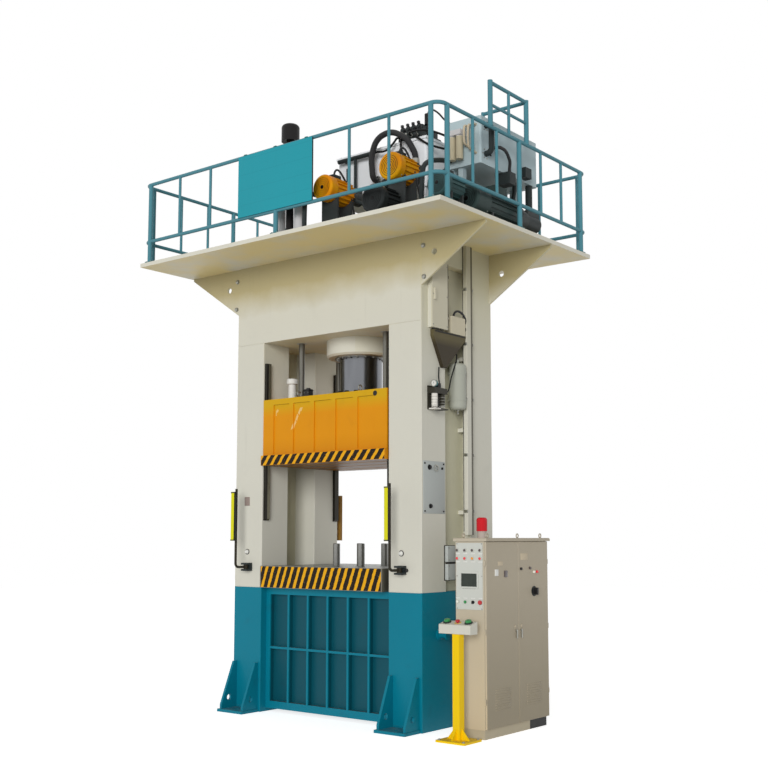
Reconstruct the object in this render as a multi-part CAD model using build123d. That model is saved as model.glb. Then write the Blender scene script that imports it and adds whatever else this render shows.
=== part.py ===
from build123d import *
import math
import os

# Hydraulic press, column type, with its oil plant on a railed deck.
# Millimetres. X is to the operator's right, Y runs from the front to the rear, Z is up.
# The origin is on the floor, in the middle of the four anchor bolts.

# Frame
FRAME_WIDTH = 2700
FRAME_DEPTH = 1300
COLUMN_WIDTH = 430
COLUMN_DEPTH = 420
BED_TOP = 1380
WINDOW_HEIGHT = 2790
CROWN_HEIGHT = 925
COLUMN_CHAMFER = 6
BED_RECESS = 150
BED_CLEARANCE = 40
BED_SIDE_BAND = 50
BED_RIB_PAIRS = 3
BED_RIB_WIDTH = 25
BED_RIB_DEPTH = 60
BED_BAND = 80
WELL_WIDTH = 900
WELL_DEPTH = 760
WELL_FLOOR = 300
SIDE_POCKET_DEPTH = 100
SIDE_POCKET_LINTEL = 265
PANEL_THICKNESS = 20
TIE_ROD_RADIUS = 60
TIE_ROD_CLEARANCE = 5
NUT_RADIUS = 105
NUT_HEIGHT = 150
NUT_POCKET_GAP = 30
NUT_POCKET_LIFT = 20

SEAT_GAP = 0.3

# Feet
FOOT_WIDTH = 390
FOOT_PROJECTION = 260
FOOT_ANCHOR_OUT = 20
FOOT_HEIGHT = 540
FOOT_PLATE = 30
FOOT_GUSSET = 30
FOOT_TOE = 45
FOOT_HOLE_RADIUS = 32
ANCHOR_HOLE_RADIUS = 20

# Bolster and its T-slots
BOLSTER_SIDE_GAP = 40
BOLSTER_DEPTH = 1420
BOLSTER_HEIGHT = 240
SLOT_PITCH = 400
SLOT_WIDTH = 36
SLOT_DEPTH = 60
SLOT_HEAD_WIDTH = 60
SLOT_HEAD_HEIGHT = 26
PIN_RADIUS = 40
PIN_CLEARANCE = 3
PIN_X = 180
PIN_Y = 207
PIN_REACH = 250
CUSHION_PLATE_GAP = 25
CUSHION_PLATE_HEIGHT = 90
CUSHION_REST_GAP = 10
CUSHION_ROD_RADIUS = 90
CUSHION_CYLINDER_RADIUS = 150
CUSHION_CYLINDER_HEIGHT = 400
CUSHION_CYLINDER_BASE = 80

# Slide, guides and rams
STROKE_UP = 250
SLIDE_HEIGHT = 750
RAM_SHOWN = 473
SLIDE_SIDE_GAP = 15
SLIDE_PROUD = 10
SLIDE_FLANGE_HEIGHT = 112
SLIDE_FLANGE_PROUD = 35
SLIDE_STRIP_WIDTH = 160
SLIDE_RELIEF = 14
SLIDE_RIB_PITCH = 314
SLIDE_RIB_WIDTH = 64
RAIL_THICKNESS = 35
RAIL_WIDTH = 70
RAIL_INSET = 20
RAIL_LIFT = 750
RAIL_TOP_GAP = 240
GIB_THICKNESS = 16
GIB_RUN = 1
GIB_FRONT_GAP = 2
RAM_RADIUS = 243
RUN_CLEARANCE = 0.05
RAM_TOP_GAP = 30
COLLAR_RADIUS = 396
COLLAR_DROP = 197
COLLAR_LIP = 22
BARREL_RADIUS = 350
BARREL_OVER_DECK = 420
BARREL_HEAD = 110
BORE_CLEARANCE = 12
GLAND_HEIGHT = 90
GLAND_WALL = 60
RAM_FLANGE_RADIUS = 330
RAM_FLANGE_HEIGHT = 55
RETURN_INSET = 280
RETURN_Y = 327
RETURN_ROD_RADIUS = 35
RETURN_BARREL_RADIUS = 62
RETURN_OVER_DECK = 320
RETURN_HEAD = 60
RETURN_NUT_RADIUS = 58
RETURN_NUT_HEIGHT = 45
SENSOR_WIDTH = 80
SENSOR_HEIGHT = 130

# Deck, brackets and railing
DECK_OVERHANG_X = 830
DECK_OVERHANG_Y = 800
DECK_THICKNESS = 45
BRACKET_REACH = 800
BRACKET_DROP = 555
BRACKET_THICKNESS = 25
BRACKET_TOE = 30
BRACKET_HOLE_RADIUS = 34
BRACKET_HOLE_OUT = 165
BRACKET_HOLE_DOWN = 230
RAILING_HEIGHT = 935
RAILING_INSET = 30
RAILING_RADIUS = 20
POST_RADIUS = 26
LOWER_RAIL_HEIGHT = 250
CORNER_RADIUS = 100
BALUSTER_RADIUS = 16
FRONT_POST_PAIRS = 4
SIDE_POST_PAIRS = 3
BOARD_WIDTH = 1090
BOARD_HEIGHT = 680
BOARD_THICKNESS = 6
GUARD_HEIGHT = 465
GUARD_FRONT = -540
GUARD_REAR = 150
GUARD_POST_IN = 40

# Light curtains
CURTAIN_IN = 25
CURTAIN_CLAMP = 90
CURTAIN_CLAMP_LIFT = 180
CURTAIN_REACH = 160
CURTAIN_LIFT = 520
CURTAIN_LENGTH = 550
CURTAIN_WIDTH = 56
CURTAIN_DEPTH = 46
CURTAIN_CAP = 20
CURTAIN_RIM = 12
CURTAIN_GROOVE = 4
CURTAIN_ROD_RADIUS = 14
CURTAIN_ROD_BEND = 45
CURTAIN_ROD_OVER = 35
PIVOT_OUT = 60
EYE_RADIUS = 26
EYE_PIN = 12
EYE_ROOM = 32
FORK_GAP = 50
REAR_CURTAIN_OUT = 45
REAR_CURTAIN_BACK = 70

# Equipment on the right side of the frame; a share is one of half the gap between the columns
BOX_IN = 115
BOX_WIDTH = 288
BOX_DROP = 60
BOX_HEIGHT = 705
BOX_DEPTH = 42
BOX_DOOR = 18
BOX_WALL = 8
BOX_HINGE_INSET = 120
BOX_GRIP = 22
BOX_GRIP_LENGTH = 120
BRACKET_DEPTH = 45
BRACKET_GAP = 18
BRACKET_DROP_SIDE = 382
BRACKET_NOSE = 50
BRACKET_SIDE = 65
BRACKET_EDGE = 10
HOUSING_HEIGHT = 190
HOUSING_FRONT_SHARE = 0.76
HOUSING_REAR_SHARE = 0.35
HOUSING_SUNK = 60
DUCT_FRONT_SHARE = 0.445
DUCT_REAR_SHARE = 0.92
DUCT_DEPTH = 50
DUCT_LIFT = 583
DUCT_CLIP = 40
RECEIVER_SHARE = 0.4
RECEIVER_BAND = 4
RECEIVER_DOME = 42
RECEIVER_DROP = 380
RECEIVER_LENGTH = 500
RECEIVER_STRAP = 30
UNIT_DROP = 730
UNIT_PLATE = 12
UNIT_OUT = 62
UNIT_HALF = 110
UNIT_BODY_TOP = 35
UNIT_BODY_LOW = 25
UNIT_BOWL_OUT = 66
UNIT_BOWL_RADIUS = 32
UNIT_BOWL_LENGTH = 140
GAUGE_RADIUS = 36
GAUGE_DEPTH = 22
GAUGE_LIFT = 80
KNOB_RADIUS = 28
KNOB_HEIGHT = 48
KNOB_STEM = 14
KNOB_SOCKET = 30
KNOB_FLUTES = 12
FLUTE_RADIUS = 3

# Hinges of the three doors
PIN_RUN = 0.05
HINGE_PIN = 4
HINGE_KNUCKLE = 8
HINGE_HEIGHT = 34
HINGE_LUG = 16
HINGE_LEAF = 4
HINGE_EDGE = 9

# Control cabinet
CABINET_GAP = 370
CABINET_WIDTH = 360
CABINET_FRONT = -582
CABINET_REAR = 586
CABINET_TOP = 1900
CABINET_LID = 32
CABINET_LID_OVERHANG = 18
CABINET_LID_CHAMFER = 8
CABINET_PLINTH = 92
PLINTH_INSET = 12
PLINTH_RIM = 40
CABINET_WALL = 10
CABINET_DOOR = 22
CABINET_HINGE_INSET = 240
DOOR_STOP = 30
DOOR_TOP_GAP = 4
DOOR_LOW_GAP = 6
LEAF_GAP = 1.5
LOCK_RADIUS = 16
LOCK_HEIGHT = 8
LOCK_IN = 60
LOCK_Z = 1050
EYE_BOLT_RADIUS = 20
EYE_BOLT_WIRE = 6
EYE_BOLT_X = 140
EYE_BOLT_Y = 500
ISOLATOR_Y = 304
ISOLATOR_DROP = 512
ISOLATOR_RADIUS = 40
ISOLATOR_DEPTH = 18
ISOLATOR_SHAFT = 12
ISOLATOR_GRIP = (32, 22, 74)
BEACON_Y = -350
BEACON_LEFT = 20
BEACON_FOOT = 46
BEACON_FOOT_HEIGHT = 68
BEACON_RADIUS = 55
BEACON_HEIGHT = 205

# Mounting plate in the cabinet: each row of switchgear has a height, a depth and a width
GEAR_ROWS = [(150, 120, 96), (110, 90, 60), (110, 80, 45), (190, 140, 160)]
GEAR_PITCH = 360
GEAR_SPACING = 14
GEAR_TOP = 300
GEAR_DUCT = 50
PLATE_THICKNESS = 4
PLATE_STAND_OFF = 20
PLATE_INSET = 60
PLATE_END = 80
PLATE_STUD = 8
PLATE_STUD_IN = 40

# Operator panel
PANEL_SHEET = 8
PANEL_HALF = 156
PANEL_TOP_GAP = 16
PANEL_FOOT = 73
PANEL_LEFT = 12
PANEL_COLUMN_IN = 32
PANEL_COLUMN_PITCH = 89.7
PANEL_ROW_DROP = 592
LAMP_DROPS = (88, 168)
LAMP_RADIUS = 17
LAMP_HEIGHT = 14
SCREEN_LIFT = 214
SCREEN_WIDTH = 186
SCREEN_HEIGHT = 128
BEZEL_RIM = 18
BEZEL_DEPTH = 9
BUTTON_STEM = 9
BUTTON_NECK = 14
SELECTOR_HEIGHT = 9
START_RADIUS = 15
START_HEIGHT = 10
START_GAP = 6
STOP_RADIUS = 22
STOP_HEIGHT = 16
STOP_GAP = 10

# Push-button stand
STAND_LEFT = 10
STAND_OUT = 208
STAND_TOP = 1135
STAND_BOX_WIDTH = 370
STAND_BOX_DEPTH = 120
STAND_BOX_HEIGHT = 120
STAND_POST = 80
STAND_POST_WALL = 6
STAND_SLOPE = 32
STAND_FOOT_WIDTH = 340
STAND_FOOT_DEPTH = 300
STAND_FOOT = 20
STAND_GUSSET_X = 90
STAND_GUSSET_Y = 80
STAND_GUSSET_TOP = 130
STAND_GUSSET = 10
PALM_OFFSET = 125
PALM_RADIUS = 32
PALM_HEIGHT = 24
PALM_STEM = 11
PALM_NECK = 30
STAND_STOP_RADIUS = 22
STAND_STOP_HEIGHT = 20
STAND_BUTTON_GAP = 12

# Oil plant on the deck
NECK_HEIGHT = 20
RESERVOIR_OUT = 70
RESERVOIR_WIDTH = 1220
RESERVOIR_FRONT = -650
RESERVOIR_REAR = 620
RESERVOIR_BODY = 535
COVER_HEIGHT = 25
COVER_RIM = 12
LEG_WIDTH = 60
LEG_INSET = 60
LEG_PLATE = 16
TANK_IN = 185
TANK_WIDTH = 435
TANK_FRONT = -490
TANK_REAR = 615
TANK_LIFT = 610
TANK_HEIGHT = 500
MAIN_MOTOR_IN = 225
MAIN_MOTOR_RADIUS = 155
MAIN_MOTOR_LIFT = 35
MAIN_MOTOR_FRONT = -700
MAIN_MOTOR_LENGTH = 850
MAIN_MOTOR_REAR = 620
MOTOR_BOX_WIDTH = 140
MOTOR_BOX_LENGTH = 220
MOTOR_BOX_HEIGHT = 110
MOTOR_BOX_IN = 200
MOTOR_PLATE = 20
PUMP_BELL_SHARE = 0.45
PORT_SHARE = 0.75
BREATHER_X = -5
BREATHER_Y = -1200
BREATHER_TOP = 1255
BREATHER_CAP = 190
CANISTER_PITCH = 142
CANISTER_RADIUS = 58
CANISTER_HEIGHT = 430
VENT_RADIUS = 38
VENT_STEM = 150
VENT_CAP = 115
MANIFOLD_IN = 390
MANIFOLD_INSET = 30
MANIFOLD_DEPTH = 200
MANIFOLD_HEIGHT = 110
VALVES = 4
VALVE_PITCH = 72
HUNG_VALVE_Y = (-70, 50)
HEADER_Y = -712
HEADER_RADIUS = 24
HEADER_LENGTH = 495
BYPASS_Y = -400
BYPASS_OUT = 75
BYPASS_DROP = 300
BYPASS_RADIUS = 30
BYPASS_BEND = 55
SUCTION_RADIUS = 38
WIDE_HOSE_RADIUS = 32
WIDE_HOSE_REACH = 500
SIDE_HOSE_RADIUS = 17
SIDE_HOSE_REACH = 200
BEND_SHARE = 0.45

# Height, width and depth of the frame
HALF_WIDTH = FRAME_WIDTH / 2
HALF_DEPTH = FRAME_DEPTH / 2
WINDOW_TOP = BED_TOP + WINDOW_HEIGHT
CROWN_TOP = WINDOW_TOP + CROWN_HEIGHT
WINDOW_X = HALF_WIDTH - COLUMN_WIDTH
GAP_Y = HALF_DEPTH - COLUMN_DEPTH
COLUMN_X = HALF_WIDTH - COLUMN_WIDTH / 2
COLUMN_Y = HALF_DEPTH - COLUMN_DEPTH / 2
BED_RIB_PITCH = (WINDOW_X - BED_SIDE_BAND) / BED_RIB_PAIRS
SIDE_POCKET_TOP = CROWN_TOP - SIDE_POCKET_LINTEL
ANCHOR_Y = HALF_DEPTH + FOOT_PROJECTION / 2 + FOOT_ANCHOR_OUT
NUT_POCKET_TOP = NUT_HEIGHT + NUT_POCKET_LIFT

# Places of the bolster, the die cushion, the slide and the rams
BOLSTER_TOP = BED_TOP + BOLSTER_HEIGHT
BOLSTER_WIDTH = 2 * (WINDOW_X - BOLSTER_SIDE_GAP)
CUSHION_CYLINDER_TOP = WELL_FLOOR + CUSHION_CYLINDER_HEIGHT
CUSHION_PLATE_Z = CUSHION_CYLINDER_TOP + PIN_REACH + CUSHION_REST_GAP
DECK_TOP = CROWN_TOP + DECK_THICKNESS
COLLAR_BOTTOM = WINDOW_TOP - COLLAR_DROP
SLIDE_TOP = COLLAR_BOTTOM - RAM_SHOWN
SLIDE_BOTTOM = SLIDE_TOP - SLIDE_HEIGHT
SLIDE_X = WINDOW_X - SLIDE_SIDE_GAP
SLIDE_Y = HALF_DEPTH + SLIDE_PROUD
RAIL_BOTTOM = BED_TOP + RAIL_LIFT
RAIL_TOP = WINDOW_TOP - RAIL_TOP_GAP
RAIL_OUTER_Y = HALF_DEPTH - RAIL_INSET
RAIL_FACE_X = WINDOW_X - RAIL_THICKNESS
GIB_SEAT_X = RAIL_FACE_X - GIB_RUN - GIB_THICKNESS
GIB_SEAT_Y = RAIL_OUTER_Y - RAIL_WIDTH - GIB_RUN - GIB_THICKNESS
BARREL_TOP = DECK_TOP + BARREL_OVER_DECK
BORE_TOP = BARREL_TOP - BARREL_HEAD
RAM_TOP = BORE_TOP - STROKE_UP - RAM_TOP_GAP
GLAND_RADIUS = RAM_RADIUS + GLAND_WALL
RETURN_X = SLIDE_X - RETURN_INSET
RETURN_BARREL_TOP = DECK_TOP + RETURN_OVER_DECK

# Places of the deck and its railing
DECK_X = HALF_WIDTH + DECK_OVERHANG_X
DECK_Y = HALF_DEPTH + DECK_OVERHANG_Y
RAILING_X = DECK_X - RAILING_INSET
RAILING_Y = DECK_Y - RAILING_INSET
RAILING_TOP = DECK_TOP + RAILING_HEIGHT
LOWER_RAIL_Z = DECK_TOP + LOWER_RAIL_HEIGHT
FRONT_POST_PITCH = (RAILING_X - CORNER_RADIUS) / FRONT_POST_PAIRS
SIDE_POST_PITCH = (RAILING_Y - CORNER_RADIUS - POST_RADIUS) / SIDE_POST_PAIRS

# Places of the light curtains and of what the right side carries
CURTAIN_X = COLUMN_X - CURTAIN_IN
CURTAIN_Z = BED_TOP + CURTAIN_CLAMP_LIFT + CURTAIN_CLAMP / 2
CURTAIN_BOTTOM = BED_TOP + CURTAIN_LIFT
PIVOT_Y = -HALF_DEPTH - PIVOT_OUT
BOX_FRONT = -HALF_DEPTH + BOX_IN
BOX_REAR = BOX_FRONT + BOX_WIDTH
BRACKET_NOSE_Y = -GAP_Y - BRACKET_SIDE
HOUSING_FRONT = -GAP_Y * HOUSING_FRONT_SHARE
HOUSING_REAR = GAP_Y * HOUSING_REAR_SHARE
DUCT_FRONT = GAP_Y * DUCT_FRONT_SHARE
DUCT_REAR = GAP_Y * DUCT_REAR_SHARE
RECEIVER_RADIUS = GAP_Y * RECEIVER_SHARE
UNIT_Y = -COLUMN_Y
BOX_BOTTOM = WINDOW_TOP - BOX_DROP
BOX_TOP = BOX_BOTTOM + BOX_HEIGHT
BOX_HINGES = (BOX_BOTTOM + BOX_HINGE_INSET, BOX_TOP - BOX_HINGE_INSET - HINGE_LUG - HINGE_HEIGHT)
DUCT_BOTTOM = BED_TOP + DUCT_LIFT
RECEIVER_TOP = WINDOW_TOP - RECEIVER_DROP
RECEIVER_BOTTOM = RECEIVER_TOP - RECEIVER_LENGTH
UNIT_Z = WINDOW_TOP - UNIT_DROP

# Places of the cabinet, its panel and the stand
CABINET_LEFT = HALF_WIDTH + CABINET_GAP
CABINET_RIGHT = CABINET_LEFT + CABINET_WIDTH
CABINET_X = (CABINET_LEFT + CABINET_RIGHT) / 2
CABINET_Y = (CABINET_FRONT + CABINET_REAR) / 2
CABINET_HINGES = (
    CABINET_PLINTH + CABINET_HINGE_INSET, (CABINET_PLINTH + CABINET_TOP) / 2, CABINET_TOP - CABINET_HINGE_INSET,
)
DOOR_INNER = CABINET_RIGHT - CABINET_DOOR
HINGE_X = CABINET_RIGHT - CABINET_DOOR / 2
ISOLATOR_Z = CABINET_TOP - ISOLATOR_DROP
BEACON_X = CABINET_X - BEACON_LEFT
PANEL_FACE = CABINET_FRONT - PANEL_SHEET
PANEL_X = CABINET_X - PANEL_LEFT
PANEL_ROW = CABINET_TOP - PANEL_ROW_DROP
PANEL_COLUMNS = [CABINET_LEFT + PANEL_COLUMN_IN + n * PANEL_COLUMN_PITCH for n in range(4)]
STAND_X = CABINET_X - STAND_LEFT
STAND_Y = CABINET_FRONT - STAND_OUT

# Places of the oil plant
RESERVOIR_RIGHT = HALF_WIDTH + RESERVOIR_OUT
RESERVOIR_LEFT = RESERVOIR_RIGHT - RESERVOIR_WIDTH
RESERVOIR_LOW = BARREL_TOP + NECK_HEIGHT
RESERVOIR_TOP = RESERVOIR_LOW + RESERVOIR_BODY
TANK_RIGHT = DECK_X - TANK_IN
TANK_LEFT = TANK_RIGHT - TANK_WIDTH
TANK_LOW = DECK_TOP + TANK_LIFT
TANK_HIGH = TANK_LOW + TANK_HEIGHT
MAIN_MOTOR_X = DECK_X - MAIN_MOTOR_IN
MAIN_MOTOR_Z = DECK_TOP + MAIN_MOTOR_LIFT + MAIN_MOTOR_RADIUS
MAIN_MOTOR_END = MAIN_MOTOR_FRONT + MAIN_MOTOR_LENGTH
MANIFOLD_LEFT = RESERVOIR_RIGHT - MANIFOLD_IN

# Smaller motors: X of the axis, its height over the deck, front end, rear end, radius
SMALL_MOTORS = [
    (RESERVOIR_LEFT + 305, 452, -1250, -870, 138),
    (RESERVOIR_RIGHT - 110, 550, -1130, -800, 146),
    (RESERVOIR_RIGHT - 170, 175, -1330, -1040, 150),
    (TANK_RIGHT - 90, 255, -1130, -800, 128),
]
LOW = (Align.CENTER, Align.CENTER, Align.MIN)
SIDES = (-1, 1)
CORNERS = [(sx, sy) for sx in SIDES for sy in SIDES]


def block(x, y, z):
    """A box from its faces: three pairs of a low and a high value."""
    centre = [(a + b) / 2 for a, b in (x, y, z)]
    return Pos(*centre) * Box(*[abs(b - a) for a, b in (x, y, z)])


def disc(x, y, z, radius, bore=0):
    """An upright cylinder between two heights, with a bore if one is given."""
    shape = Pos(x, y, z[0]) * extrude(Circle(radius), z[1] - z[0])
    if bore:
        shape -= Pos(x, y, z[0]) * extrude(Circle(bore), z[1] - z[0])
    return shape


def bar(start, end, radius):
    """A round bar from one point to another."""
    run = Vector(*end) - Vector(*start)
    return extrude(Plane(origin=start, z_dir=run.normalized()) * Circle(radius), run.length)


def side_profile(points, x):
    """An outline of Y and Z points, extruded from one X to another."""
    face = make_face(Polyline(*points, close=True))
    return extrude(Plane.YZ.offset(x[0]) * face, x[1] - x[0])


def front_profile(points, y):
    """An outline of X and Z points, extruded from one Y to another."""
    face = make_face(Polyline(*points, close=True))
    plane = Plane(origin=(0, y[1], 0), x_dir=(1, 0, 0), z_dir=(0, -1, 0))
    return extrude(plane * face, y[1] - y[0])


def plan_profile(points, z):
    """An outline of X and Y points, extruded from one height to another."""
    return Pos(0, 0, z[0]) * extrude(make_face(Polyline(*points, close=True)), z[1] - z[0])


def pipe(path, radius):
    """A round pipe along a path."""
    section = Plane(origin=path @ 0, z_dir=path % 0) * Circle(radius)
    return sweep(section, path=path)


def every_quarter(shape):
    """A shape of the right rear quarter, repeated in all four quarters."""
    right = shape + mirror(shape, about=Plane.XZ)
    return right + mirror(right, about=Plane.YZ)


def group(*shapes):
    """Separate solids of like pieces that share one node."""
    solids = [solid for shape in shapes for solid in shape.solids()]
    return Compound(children=solids)


def t_slots(length, reach, face, into):
    """T-slots along X in a face at one height, cut upwards (into = 1) or downwards (-1)."""
    half, head = SLOT_WIDTH / 2, SLOT_HEAD_WIDTH / 2
    neck, deep = into * (SLOT_DEPTH - SLOT_HEAD_HEIGHT), into * SLOT_DEPTH
    section = [
        (-half, face - into), (-half, face + neck), (-head, face + neck), (-head, face + deep),
        (head, face + deep), (head, face + neck), (half, face + neck), (half, face - into),
    ]
    count = int(reach // SLOT_PITCH)
    slots = [
        side_profile([(y + n * SLOT_PITCH, z) for y, z in section], (-length, length))
        for n in range(-count, count + 1)
    ]
    return Part() + slots


# Frame


def make_bed():
    """Welded bed: a ribbed beam between two pillars, with a well for the die cushion."""
    beam_y = HALF_DEPTH - BED_RECESS
    bed = block((-WINDOW_X, WINDOW_X), (-beam_y, beam_y), (BED_CLEARANCE, BED_TOP))
    height = BED_TOP - BED_CLEARANCE
    pocket = (BED_RIB_PITCH - BED_RIB_WIDTH, (height - 2 * BED_BAND - BED_RIB_WIDTH) / 2)
    grid = GridLocations(BED_RIB_PITCH, pocket[1] + BED_RIB_WIDTH, 2 * BED_RIB_PAIRS, 2)
    ribs = Rectangle(2 * WINDOW_X, height) - grid * Rectangle(*pocket)
    middle = BED_CLEARANCE + height / 2
    front = Plane(origin=(0, -beam_y, middle), x_dir=(1, 0, 0), z_dir=(0, -1, 0))
    lattice = extrude(front * ribs, BED_RIB_DEPTH)
    bed += [lattice, mirror(lattice, about=Plane.XZ)]
    pillar = block((WINDOW_X, HALF_WIDTH), (-HALF_DEPTH, HALF_DEPTH), (0, BED_TOP))
    pillar = chamfer(pillar.edges().filter_by(Axis.Z), COLUMN_CHAMFER)
    bed += [pillar, mirror(pillar, about=Plane.YZ)]
    well = (BED_TOP - WELL_FLOOR) / 2 + WELL_FLOOR
    bed -= Pos(0, 0, well) * Box(WELL_WIDTH, WELL_DEPTH, BED_TOP - WELL_FLOOR)
    for sx, sy in CORNERS:
        bed -= disc(sx * COLUMN_X, sy * COLUMN_Y, (0, BED_TOP), TIE_ROD_RADIUS + TIE_ROD_CLEARANCE)
        bed -= disc(sx * COLUMN_X, sy * COLUMN_Y, (0, NUT_POCKET_TOP), NUT_RADIUS + NUT_POCKET_GAP)
    return bed


def make_feet():
    """Four base plates with an anchor hole, each with two gussets against a pillar."""
    inner, outer = COLUMN_X - FOOT_WIDTH / 2, COLUMN_X + FOOT_WIDTH / 2
    toe = HALF_DEPTH + FOOT_PROJECTION
    plate = block((inner, outer), (HALF_DEPTH, toe), (0, FOOT_PLATE))
    plate -= disc(COLUMN_X, ANCHOR_Y, (0, FOOT_PLATE), ANCHOR_HOLE_RADIUS)
    outline = [
        (HALF_DEPTH, FOOT_PLATE), (toe - FOOT_PLATE, FOOT_PLATE), (toe - FOOT_PLATE, FOOT_PLATE + FOOT_TOE),
        (HALF_DEPTH + FOOT_TOE, FOOT_HEIGHT), (HALF_DEPTH, FOOT_HEIGHT),
    ]
    hole = Pos(0, HALF_DEPTH + FOOT_PROJECTION * 0.45, FOOT_HEIGHT * 0.27) * Rot(0, 90, 0)
    for x in (inner + FOOT_TOE / 4, outer - FOOT_TOE / 4 - FOOT_GUSSET):
        plate += side_profile(outline, (x, x + FOOT_GUSSET))
    plate -= hole * Cylinder(FOOT_HOLE_RADIUS, 4 * HALF_WIDTH)
    return every_quarter(plate)


def make_columns():
    """Four box columns with a bore for the tie rods."""
    column = block((WINDOW_X, HALF_WIDTH), (GAP_Y, HALF_DEPTH), (BED_TOP, WINDOW_TOP))
    column = chamfer(column.edges().filter_by(Axis.Z), COLUMN_CHAMFER)
    column -= disc(COLUMN_X, COLUMN_Y, (BED_TOP, WINDOW_TOP), TIE_ROD_RADIUS + TIE_ROD_CLEARANCE)
    return every_quarter(column)


def make_side_panels():
    """Sheet panels that close the gap between the front and rear columns, set back from the side."""
    outer = HALF_WIDTH - SIDE_POCKET_DEPTH
    panel = block((outer - PANEL_THICKNESS, outer), (-GAP_Y, GAP_Y), (BED_TOP, WINDOW_TOP))
    return group(panel, mirror(panel, about=Plane.YZ))


def make_crown():
    """Upper beam with bores for the cylinders and tie rods and a pocket in each side."""
    crown = block((-HALF_WIDTH, HALF_WIDTH), (-HALF_DEPTH, HALF_DEPTH), (WINDOW_TOP, CROWN_TOP))
    crown = chamfer(crown.edges().filter_by(Axis.Z), COLUMN_CHAMFER)
    inner = HALF_WIDTH - SIDE_POCKET_DEPTH
    for sx in SIDES:
        crown -= block((sx * inner, sx * HALF_WIDTH), (-GAP_Y, GAP_Y), (WINDOW_TOP, SIDE_POCKET_TOP))
    crown -= disc(0, 0, (WINDOW_TOP, CROWN_TOP), BARREL_RADIUS + SEAT_GAP)
    for sx, sy in CORNERS:
        crown -= disc(sx * COLUMN_X, sy * COLUMN_Y, (WINDOW_TOP, CROWN_TOP), TIE_ROD_RADIUS + TIE_ROD_CLEARANCE)
        crown -= disc(sx * RETURN_X, sy * RETURN_Y, (WINDOW_TOP, CROWN_TOP), RETURN_BARREL_RADIUS + SEAT_GAP)
    return crown


def make_tie_rods():
    """Four tie rods that clamp bed, columns and crown, with a nut at each end."""
    low, high = NUT_POCKET_TOP - NUT_HEIGHT - SEAT_GAP, CROWN_TOP + NUT_HEIGHT
    solids = []
    for sx, sy in CORNERS:
        x, y = sx * COLUMN_X, sy * COLUMN_Y
        solids.append(disc(x, y, (low, high + TIE_ROD_CLEARANCE), TIE_ROD_RADIUS))
        for z in (NUT_POCKET_TOP - NUT_HEIGHT, CROWN_TOP):
            nut = Pos(x, y, z) * extrude(RegularPolygon(NUT_RADIUS, 6), NUT_HEIGHT)
            solids.append(nut - disc(x, y, (z, z + NUT_HEIGHT), TIE_ROD_RADIUS + RUN_CLEARANCE))
    return group(*solids)


def make_guide_rails():
    """Flat guide rails bolted on the window corner of each column."""
    rail = block((RAIL_FACE_X, WINDOW_X), (RAIL_OUTER_Y - RAIL_WIDTH, RAIL_OUTER_Y), (RAIL_BOTTOM, RAIL_TOP))
    rail = chamfer(rail.faces().sort_by(Axis.Z)[0].edges().sort_by(Axis.X)[0], RAIL_THICKNESS / 2)
    return every_quarter(rail)


# Deck


def make_deck():
    """Deck plate with openings for the cylinders and the tie rod nuts."""
    deck = block((-DECK_X, DECK_X), (-DECK_Y, DECK_Y), (CROWN_TOP, DECK_TOP))
    deck -= disc(0, 0, (CROWN_TOP, DECK_TOP), BARREL_RADIUS + SEAT_GAP)
    for sx, sy in CORNERS:
        deck -= disc(sx * COLUMN_X, sy * COLUMN_Y, (CROWN_TOP, DECK_TOP), NUT_RADIUS + SEAT_GAP)
        deck -= disc(sx * RETURN_X, sy * RETURN_Y, (CROWN_TOP, DECK_TOP), RETURN_BARREL_RADIUS + SEAT_GAP)
    return deck


def make_deck_brackets():
    """Triangular brackets with a round hole, which carry the deck at each side."""
    reach = HALF_WIDTH + BRACKET_REACH
    outline = [
        (HALF_WIDTH, CROWN_TOP), (reach, CROWN_TOP), (reach, CROWN_TOP - BRACKET_TOE),
        (HALF_WIDTH, CROWN_TOP - BRACKET_DROP),
    ]
    inside = HALF_DEPTH - BRACKET_THICKNESS - COLUMN_CHAMFER
    bracket = front_profile(outline, (inside, inside + BRACKET_THICKNESS))
    hole = Pos(HALF_WIDTH + BRACKET_HOLE_OUT, inside, CROWN_TOP - BRACKET_HOLE_DOWN) * Rot(90, 0, 0)
    return every_quarter(bracket - hole * Cylinder(BRACKET_HOLE_RADIUS, 4 * BRACKET_THICKNESS))


def corner_rail(z):
    """The front rail at one height, bent back round both corners."""
    back = -RAILING_Y + CORNER_RADIUS + 1
    points = [(-RAILING_X, back, z), (-RAILING_X, -RAILING_Y, z), (RAILING_X, -RAILING_Y, z), (RAILING_X, back, z)]
    return pipe(FilletPolyline(*points, radius=CORNER_RADIUS), RAILING_RADIUS)


def railing_posts(pitch, pairs, place):
    """Posts at an even pitch: the end and middle ones stand on the deck, the rest on the lower rail."""
    posts = Part()
    for n in range(-pairs, pairs + 1):
        x, y = place(n * pitch)
        if n % pairs == 0:
            posts += disc(x, y, (DECK_TOP, RAILING_TOP), POST_RADIUS)
        else:
            posts += disc(x, y, (LOWER_RAIL_Z, RAILING_TOP), BALUSTER_RADIUS)
    return posts


def railing_front():
    """Front railing: two rails with rounded corners, and their posts."""
    rails = corner_rail(RAILING_TOP) + corner_rail(LOWER_RAIL_Z)
    return rails + railing_posts(FRONT_POST_PITCH, FRONT_POST_PAIRS, lambda x: (x, -RAILING_Y))


def railing_side():
    """Railing of the right side, between the rounded corners."""
    end = RAILING_Y - CORNER_RADIUS - 1
    side = railing_posts(SIDE_POST_PITCH, SIDE_POST_PAIRS, lambda y: (RAILING_X, y))
    for z in (LOWER_RAIL_Z, RAILING_TOP):
        side += bar((RAILING_X, -end, z), (RAILING_X, end, z), RAILING_RADIUS)
    return side


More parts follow.
